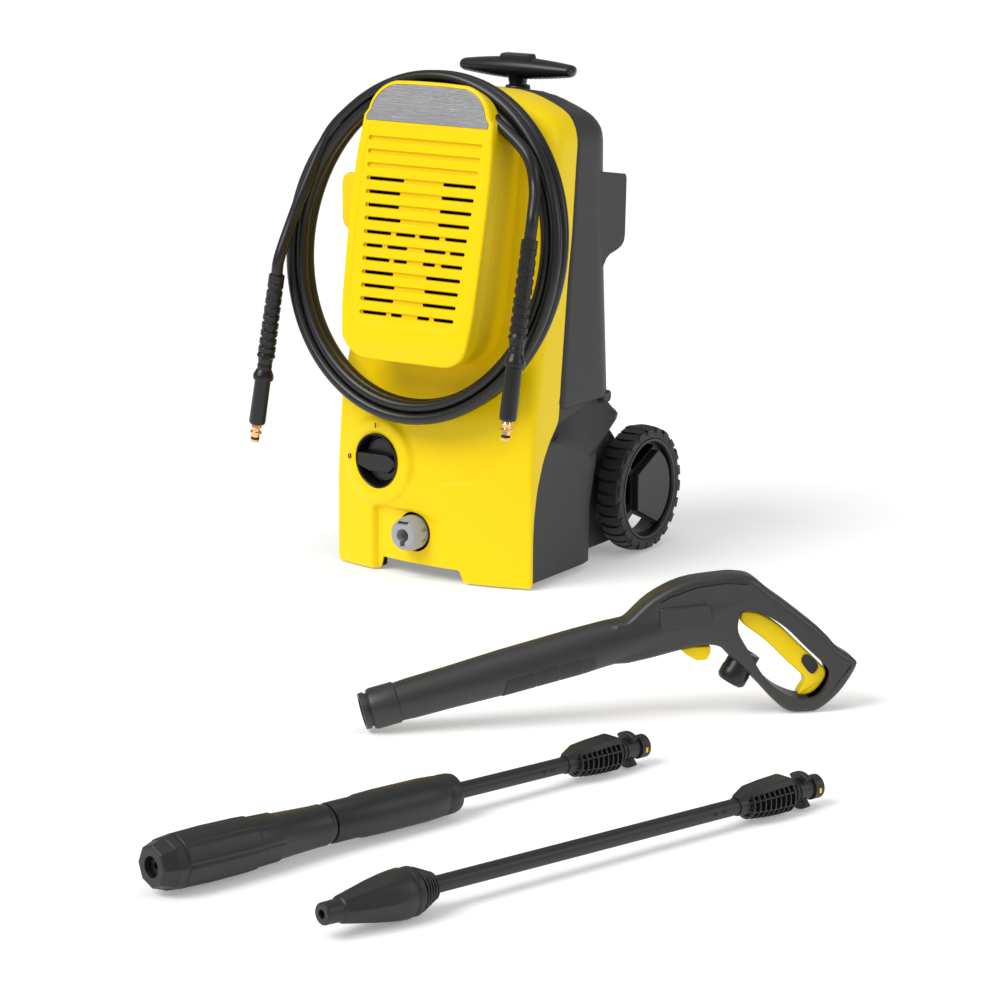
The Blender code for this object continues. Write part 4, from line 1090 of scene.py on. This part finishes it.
def spline_outline(points, steps=5):
    """A closed smooth outline; a point given twice keeps its corner."""
    count = len(points)
    made = []
    for i in range(count):
        a, b, c, d = (Vector(points[(i + k) % count]) for k in (-1, 0, 1, 2))
        if (c - b).length < 1e-6:
            continue
        if (b - a).length < 1e-6:
            a = b - (c - b)
        if (d - c).length < 1e-6:
            d = c + (c - b)
        for k in range(steps):
            t = k / steps
            p = 0.5 * (2 * b + (c - a) * t + (2 * a - 5 * b + 4 * c - d) * t ** 2 + (3 * b - a - 3 * c + d) * t ** 3)
            made.append((p.x, p.y))
    return made


def make_gun():
    along = (math.cos(GUN_SLOPE), 0, math.sin(GUN_SLOPE))
    outline = [(215, 58), (300, 72), (326, 72), (338, 62), (366, 34), (386, 12), (402, -1), (420, -3.2),
               (436, -1),
               (458, 17), (475, 43), (472, 52), (455, 64), (438, 83), (402, 113), (382, 128), (364, 143),
               (348, 147),
               (330, 147), (290, 142), (256, 126), (231, 104), (215, 97)]
    body = gun_piece("gun_body_outer", rounded_sides(spline_outline(outline, 4), 17, 7.5), "gun_plastic",
                     replaced=["gun_body"], smooth=45)
    loop = [(348, 103), (351, 109), (358, 109), (375, 104.5), (397, 90), (418, 69), (436, 51.5), (446, 39),
            (442, 24),
            (431, 13), (418, 11.5), (409.5, 13.5), (391.8, 22.7), (374, 40), (359.8, 64.4), (347.4, 87)]
    cut(body, gun_tool(prism(spline_outline(loop, 4), -40, 40)))
    well = [(349, 100), (352, 112), (366, 116), (380, 112), (411, 100), (452, 61), (460, 44), (455, 27),
            (442, 12),
            (425, 11)]
    cut(body, gun_tool(prism(spline_outline(well, 3), -9.8, 9.8)))
    crease = [(264, 117.5), (266, 124), (275, 129), (303, 138), (335, 141.5), (356, 139)]
    strip = crease + [(s - 0.4, z - 2.0) for s, z in reversed(crease)]
    for depth in ((-20, -15.4), (15.4, 20)):
        cut(body, gun_tool(prism(strip, *depth)))
    barrel = turned([(0, 4), (20, 4), (21, 20), (21.6, 60), (23.5, 120), (24, 200), (23.4, 232),
                     (21.6, 262),
                     (18.5, 290), (14, 312), (0, 320)],
                    barrel_axis(-12), along, 48)
    cut(body, gun_tool(barrel), "UNION")
    bore = cylinder(16, -40, 2, barrel_axis(-12), along, 40)
    cut(body, gun_tool(bore))
    shade(body, 42)
    muzzle = turned([(15.0, -32), (18.6, -32), (19.2, -31.2), (19.2, -26.4), (17.6, -26), (17.6, -23.5),
                     (20.4, -23),
                     (21.6, -20), (21.6, 4.5), (20.0, 6), (15.0, 6)], barrel_axis(-12), along, 48)
    gun_piece("gun_muzzle_ring", muzzle, "gun_plastic")
    lever = [(352, 103.2), (357, 106.6), (374, 102.6), (395.6, 88), (416.8, 67), (434.6, 49.6),
             (443.8, 38.2),
             (439.8, 26.2), (429, 15.8), (417.3, 13.9), (414.8, 17.5), (420.8, 31.4), (402.4, 50.3),
             (377.6, 75.2),
             (354.5, 93.4)]
    gun_piece("gun_trigger_outer", rounded_sides(spline_outline(lever, 4), 8, 2.4), "yellow_shell",
              "gun_trigger",
              ["gun_trigger"], smooth=50)
    catch = [(417, 50), (428, 36.5), (435, 44), (430, 53), (421, 58)]
    gun_piece("gun_lock_outer", prism(spline_outline(catch, 3), -9.2, 5.6), "black_plastic",
              "gun_trigger_lock",
                     ["gun_trigger_lock"], smooth=30)
    socket = turned([(6, -14), (15, -14), (15, 8), (15.6, 9), (15.6, 19), (14.6, 21), (12.5, 23), (6, 23)],
                    (354, 0, 50), (-0.5, 0, -0.86), 48)
    gun_piece("gun_socket_outer", socket, "black_plastic", replaced=["gun_hose_socket"])
    latch = [(288, 69.3), (294, 63.5), (306, 56.5), (316, 57), (320, 64), (320, 71.6), (301, 71.6)]
    gun_piece("gun_latch_outer", prism(latch, -9, 9), "yellow_shell", "gun_hose_latch", ["gun_hose_latch"],
              smooth=30, bevel=1.2)
    block = [(264, 93), (264, 116), (312, 119.5), (318, 116), (320, 101), (315, 97)]
    gun_piece("gun_side_block", prism(block, -19.2, 19.2), "gun_plastic", smooth=30,
              bevel=2.0)
    base, axis, side = Vector(barrel_axis(-12)), Vector(along), Vector((0, 1, 0))
    over = side.cross(axis).normalized() * -1
    pads = bmesh.new()
    for sign in (-1, 1):
        for s0, s1 in ((120, 147), (148.2, 172), (173.2, 197), (198.2, 226)):
            rings = []
            for s in (s0, s1):
                outer, inner = [], []
                for k in range(9):
                    t = math.radians(-8 - 66 * k / 8)
                    way = side * (sign * math.cos(t)) + over * math.sin(t)
                    radius = between([(60, 21.6), (120, 23.5), (200, 24), (236, 22)], s)
                    outer.append(base + axis * (s + (10 if s0 == 120 and s == s0 else 0) * math.sin(t)) + way * (radius + 0.5))
                    inner.append(base + axis * s + way * (radius - 1))
                rings.append(outer + inner[::-1])
            loft(rings, bm=pads)
    gun_piece("gun_hand_patch", pads, "grip_patch", smooth=40, bevel=0.3)


make_gun()


# ---------------------------------------------------------------- lances
def lance(name, profile, look, nose, tail, body, replaced=(), segments=48, smooth=35, bevel=0.0):
    way = Vector(tail) - Vector(nose)
    return add(name, turned(profile, nose, way, segments), look, body, replaced, smooth, bevel)


def lance_axes(nose, tail):
    way = (Vector(tail) - Vector(nose)).normalized()
    side = way.cross(Vector((0, 0, 1))).normalized()
    return way, side, side.cross(way).normalized()


def fin_collar(nose, tail, start, body, label, replaced):
    """Finned collar and bayonet end that locks into the gun's muzzle."""
    way, side, over = lance_axes(nose, tail)
    core = [(0, start), (9.2, start), (10.2, start + 10), (11.5, start + 66), (10.5, start + 68),
            (10.5, start + 72),
            (11.6, start + 72.4), (11.6, start + 74.4), (10.5, start + 74.8), (10.5, start + 77),
            (11.6, start + 77.4),
            (11.6, start + 79.4), (10.2, start + 80), (10.2, start + 92), (9.4, start + 93),
            (9.4, start + 96),
            (11.8, start + 96.4), (11.8, start + 107), (10.8, start + 108), (5.5, start + 108),
            (5.0, start + 100),
            (0, start + 100)]
    lance("collar_core_" + label, core, "lance_plastic", nose, tail, body, replaced)
    fins = bmesh.new()
    for i in range(9):
        s = start + 12 + i * 6.3
        r = 12.4 + 5.0 * math.sin(math.pi * min((i + 1.2) / 11, 1) ** 0.7 * 0.62)
        turned([(9, s), (r, s), (r, s + 1.4), (9, s + 1.4)], nose, way, 40, fins)
    for k in range(8):
        angle = math.radians(45 * k + 20)
        out = side * math.cos(angle) + over * math.sin(angle)
        flat = way.cross(out)
        corners = []
        for s, r in ((4, 9), (16, 14), (36, 16.4), (64, 16.8), (66, 12), (66, 9)):
            corners.append((Vector(nose) + way * (start + s) + out * r))
        loft([[c + flat * d for c in corners] for d in (-0.8, 0.8)], bm=fins)
    add("collar_fins_" + label, fins, "lance_plastic", body, smooth=30)
    roof = bmesh.new()
    corners = []
    for s, h, w in ((0, 10, 6), (16, 15.5, 11), (36, 17.0, 12.5), (62, 18.5, 12.5), (67, 17, 12)):
        corners.append((s, h, w))
    rings = []
    for s, h, w in corners:
        c = Vector(nose) + way * (start + s)
        rings.append([c + side * w + over * (h - 6), c + side * (w * 0.8) + over * h,
                      c - side * (w * 0.8) + over * h,
                      c - side * w + over * (h - 6), c - side * 5 + over * 3, c + side * 5 + over * 3])
    loft(rings, bm=roof)
    add("collar_roof_" + label, roof, "lance_plastic", body, smooth=30, bevel=0.8)
    wings = bmesh.new()
    for sign in (-1, 1):
        outline = []
        for k in range(9):
            t = math.radians(90 * sign - 42 + 84 * k / 8)
            outline.append((18.3 * math.cos(t), 18.3 * math.sin(t)))
        outline += [(9 * math.cos(math.radians(90 * sign + 42)),
                     9 * math.sin(math.radians(90 * sign + 42))),
                    (9 * math.cos(math.radians(90 * sign - 42)),
                     9 * math.sin(math.radians(90 * sign - 42)))]
        c = Vector(nose) + way * (start + 82)
        rings = [[c + way * d + side * a + over * b for a, b in outline] for d in (0, 6.5)]
        loft(rings, bm=wings)
    add("collar_wings_" + label, wings, "lance_plastic", body, smooth=30, bevel=0.8)
    # near-black dots on the tube stand in for its holes: painted shade in them
    dots = bmesh.new()
    for back in (22, 33):
        side_out = (Vector((0.54, -0.84, 0.1)) - way * Vector((0.54, -0.84, 0.1)).dot(way)).normalized()
        turned([(0, 6), (2.2, 6), (2.2, 8.25), (1.4, 8.3), (1.2, 7.6), (0, 7.6)],
               Vector(nose) + way * (start - back), side_out,
               20, dots)
    add("tube_hole_shade_" + label, dots, "pit", body, smooth=40)
    window = Vector(nose) + way * (start + 101.5) - over * 1
    tick = bmesh.new()
    out = (Vector((0.54, -0.84, 0.0)) - way * Vector((0.54, -0.84, 0.0)).dot(way)).normalized()
    flat = way.cross(out).normalized()
    corner = window + out * 11.55
    loft([[corner + out * d + way * u + flat * v for u, v in ((-1.3, -2.4), (1.3, -2.4), (1.3, 2.4),
                                                              (-1.3, 2.4))]
          for d in (0, 0.5)], bm=tick)
    add("collar_mark_" + label, tick, "yellow_shell", body, smooth=0)


def make_vario():
    nose, tail = VARIO_NOSE, VARIO_TAIL
    length = (Vector(tail) - Vector(nose)).length
    way, side, over = lance_axes(nose, tail)
    table = [(0, 18.5, 1.0, 0), (1.5, 20.6, 1.0, 0), (14, 24.6, 1.0, 0), (15, 25.4, 0.7, 0),
             (23, 26.2, 0.6, 0),
             (24, 25.0, 0.5, 0), (25.5, 25.0, 0.5, 0), (26.5, 26.4, 0.5, 1), (60, 27.2, 0.45, 1),
             (98, 26.6, 0.4, 1),
             (108, 26.0, 0.35, 1), (110, 24.4, 0.2, 1), (136, 23.4, 0.1, 1), (139, 21.8, 0, 0),
             (184, 19.8, 0, 0),
             (195, 19.8, 0, 0), (197, 18.6, 0, 0), (199, 18.6, 0, 0), (202, 17.6, 0, 0)]
    rings = []
    for distance, radius, square, ribbed in table:
        ring = []
        for k in range(96):
            t = 2 * math.pi * k / 96
            facet = math.cos(math.pi / 8) / math.cos((t % (math.pi / 4)) - math.pi / 8)
            r = radius * (1 + (facet - 1) * square)
            if ribbed and k % 12 in (0, 1):
                r -= 1.0
            ring.append(Vector(nose) + way * distance + side * (r * math.cos(t)) + over * (r * math.sin(t)))
        rings.append(ring)
    sleeve = add("vario_head", loft(rings), "lance_plastic", "vario_sleeve", ["vario_sleeve"],
                 smooth=24)
    cut(sleeve, cylinder(10, -5, 46, nose, way, 48))
    shade(sleeve, 28)
    round_edges(sleeve, 0.7, 2, 28)
    lance("vario_nozzle_core", [(0, 12), (9.6, 12), (9.6, 8), (8.6, 6), (3.2, 6), (2.6, 10), (0, 10)],
          "black_plastic",
          nose, tail, "vario_sleeve")
    grip = [(8.3, 203), (18.4, 203), (19.6, 205), (19.6, 236), (20.8, 240), (21.4, 262), (21.2, 318),
            (20.2, 336),
            (19.4, 338), (19.4, 341), (20.0, 342), (19.6, 352), (18.6, 356), (12, 357), (8.3, 357)]
    lance("vario_grip_outer", grip, "lance_plastic", nose, tail, "vario", ["vario_grip"])
    tube_end = length - COLLAR_START
    lance("vario_tube_outer", [(0, 60), (8, 60), (8, tube_end + 2), (0, tube_end + 2)], "lance_plastic",
          nose, tail,
          "vario", ["vario_tube"])
    fin_collar(nose, tail, tube_end, "vario", "vario", ["vario_coupling"])


def make_blaster():
    nose, tail = BLASTER_NOSE, BLASTER_TAIL
    length = (Vector(tail) - Vector(nose)).length
    way, side, over = lance_axes(nose, tail)
    table = [(0, 9.2), (1.2, 10.2), (18, 10.6), (19, 11.4), (20, 12.6), (34, 16.2), (50, 19.8), (66, 22.3),
             (78, 23.2),
             (88, 23.4), (90, 22.8), (91, 21.8), (92.5, 21.6), (94, 22.6), (99, 22.8), (101, 21)]
    rings = []
    for distance, radius in table:
        ring = []
        for k in range(72):
            t = 2 * math.pi * k / 72
            leaf = max(math.sin(math.pi * min(max((distance - 20) / 62, 0), 1)), 0)
            facet = math.cos(math.pi / 7) / math.cos((t % (2 * math.pi / 7)) - math.pi / 7)
            r = radius * (1 + (facet - 1) * 0.9 * leaf)
            ring.append(Vector(nose) + way * distance + side * (r * math.cos(t)) + over * (r * math.sin(t)))
        rings.append(ring)
    head = add("blaster_nose_outer", loft(rings), "lance_plastic", "blaster", ["blaster_nose"],
               smooth=24)
    cut(head, cylinder(4.2, -5, 30, nose, way, 32))
    shade(head, 24)
    round_edges(head, 0.5, 2, 24)
    rear = [(8.1, 100), (16, 100), (10, 122), (8.1, 124)]
    lance("blaster_root", rear, "lance_plastic", nose, tail, "blaster")
    fins = bmesh.new()
    for k in range(5):
        start, radius = 102.5 + 4.4 * k, 21.0 - 1.9 * k
        turned([(9, start), (radius - 0.5, start), (radius, start + 0.5), (radius, start + 1.6),
                (radius - 0.5, start + 2.1), (9, start + 2.1)], nose, way, 48, fins)
    add("blaster_fins", fins, "lance_plastic", "blaster", smooth=35)
    tube_end = length - COLLAR_START
    lance("blaster_tube_outer", [(0, 120), (8, 120), (8, tube_end + 2), (0, tube_end + 2)], "lance_plastic",
          nose, tail,
          "blaster", ["blaster_tube"])
    fin_collar(nose, tail, tube_end, "blaster", "blaster", ["blaster_coupling"])


make_vario()
make_blaster()

# ---------------------------------------------------------------- carried-over CAD nodes
for name in ("foot_left", "foot_right", "axle", "axle_clip_left", "axle_clip_right", "water_inlet",
             "cable_gland"):
    if not frame["nodes"][name].hide_render:
        round_edges(frame["nodes"][name], 0.4)

# ---------------------------------------------------------------- floor, light and air
floor_mesh = bmesh.new()
corner_size = 14000
loft([[(-corner_size, -corner_size, -0.6), (corner_size, -corner_size, -0.6)],
      [(-corner_size, corner_size, -0.6), (corner_size, corner_size, -0.6)]], closed=False, bm=floor_mesh)
floor = add("floor", floor_mesh, "pit", None, smooth=0)
floor_look = plastic("studio_floor", (0.94, 0.94, 0.94), 0.9)
floor_look.node_tree.nodes["Principled BSDF"].inputs["Emission Color"].default_value = (1, 1, 1, 1)
floor_look.node_tree.nodes["Principled BSDF"].inputs["Emission Strength"].default_value = 0.27
floor.data.materials.clear()
floor.data.materials.append(floor_look)

world_look = bpy.data.worlds.new("studio")
bpy.context.scene.world = world_look
world_look.use_nodes = True
world_look.node_tree.nodes["Background"].inputs["Color"].default_value = (1, 1, 1, 1)
world_look.node_tree.nodes["Background"].inputs["Strength"].default_value = 0.4


def lamp(name, place, target, size, power):
    data = bpy.data.lights.new(name, "AREA")
    data.shape = "RECTANGLE"
    data.size, data.size_y = size
    data.energy = power
    obj = bpy.data.objects.new(name, data)
    bpy.context.scene.collection.objects.link(obj)
    obj.location = world(place)
    way = world(target) - world(place)
    obj.rotation_euler = way.to_track_quat("-Z", "Y").to_euler()
    return obj


sun = bpy.data.objects.new("key_light", bpy.data.lights.new("key_light", "SUN"))
sun.data.energy = 1.9
sun.data.angle = math.radians(34)
bpy.context.scene.collection.objects.link(sun)
sun.rotation_euler = Vector((0.30, 0.70, -0.75)).to_track_quat("-Z", "Y").to_euler()
lamp("top_light", (200, -200, 3200), (200, -200, 0), (2.0, 2.0), 10)
lamp("side_light", (3000, 300, 1500), (150, 100, 250), (0.9, 1.3), 13)

scene = bpy.context.scene
scene.view_settings.view_transform = "Standard"
scene.view_settings.look = "None"
scene.view_settings.exposure = 0.0
scene.view_settings.gamma = 1.0
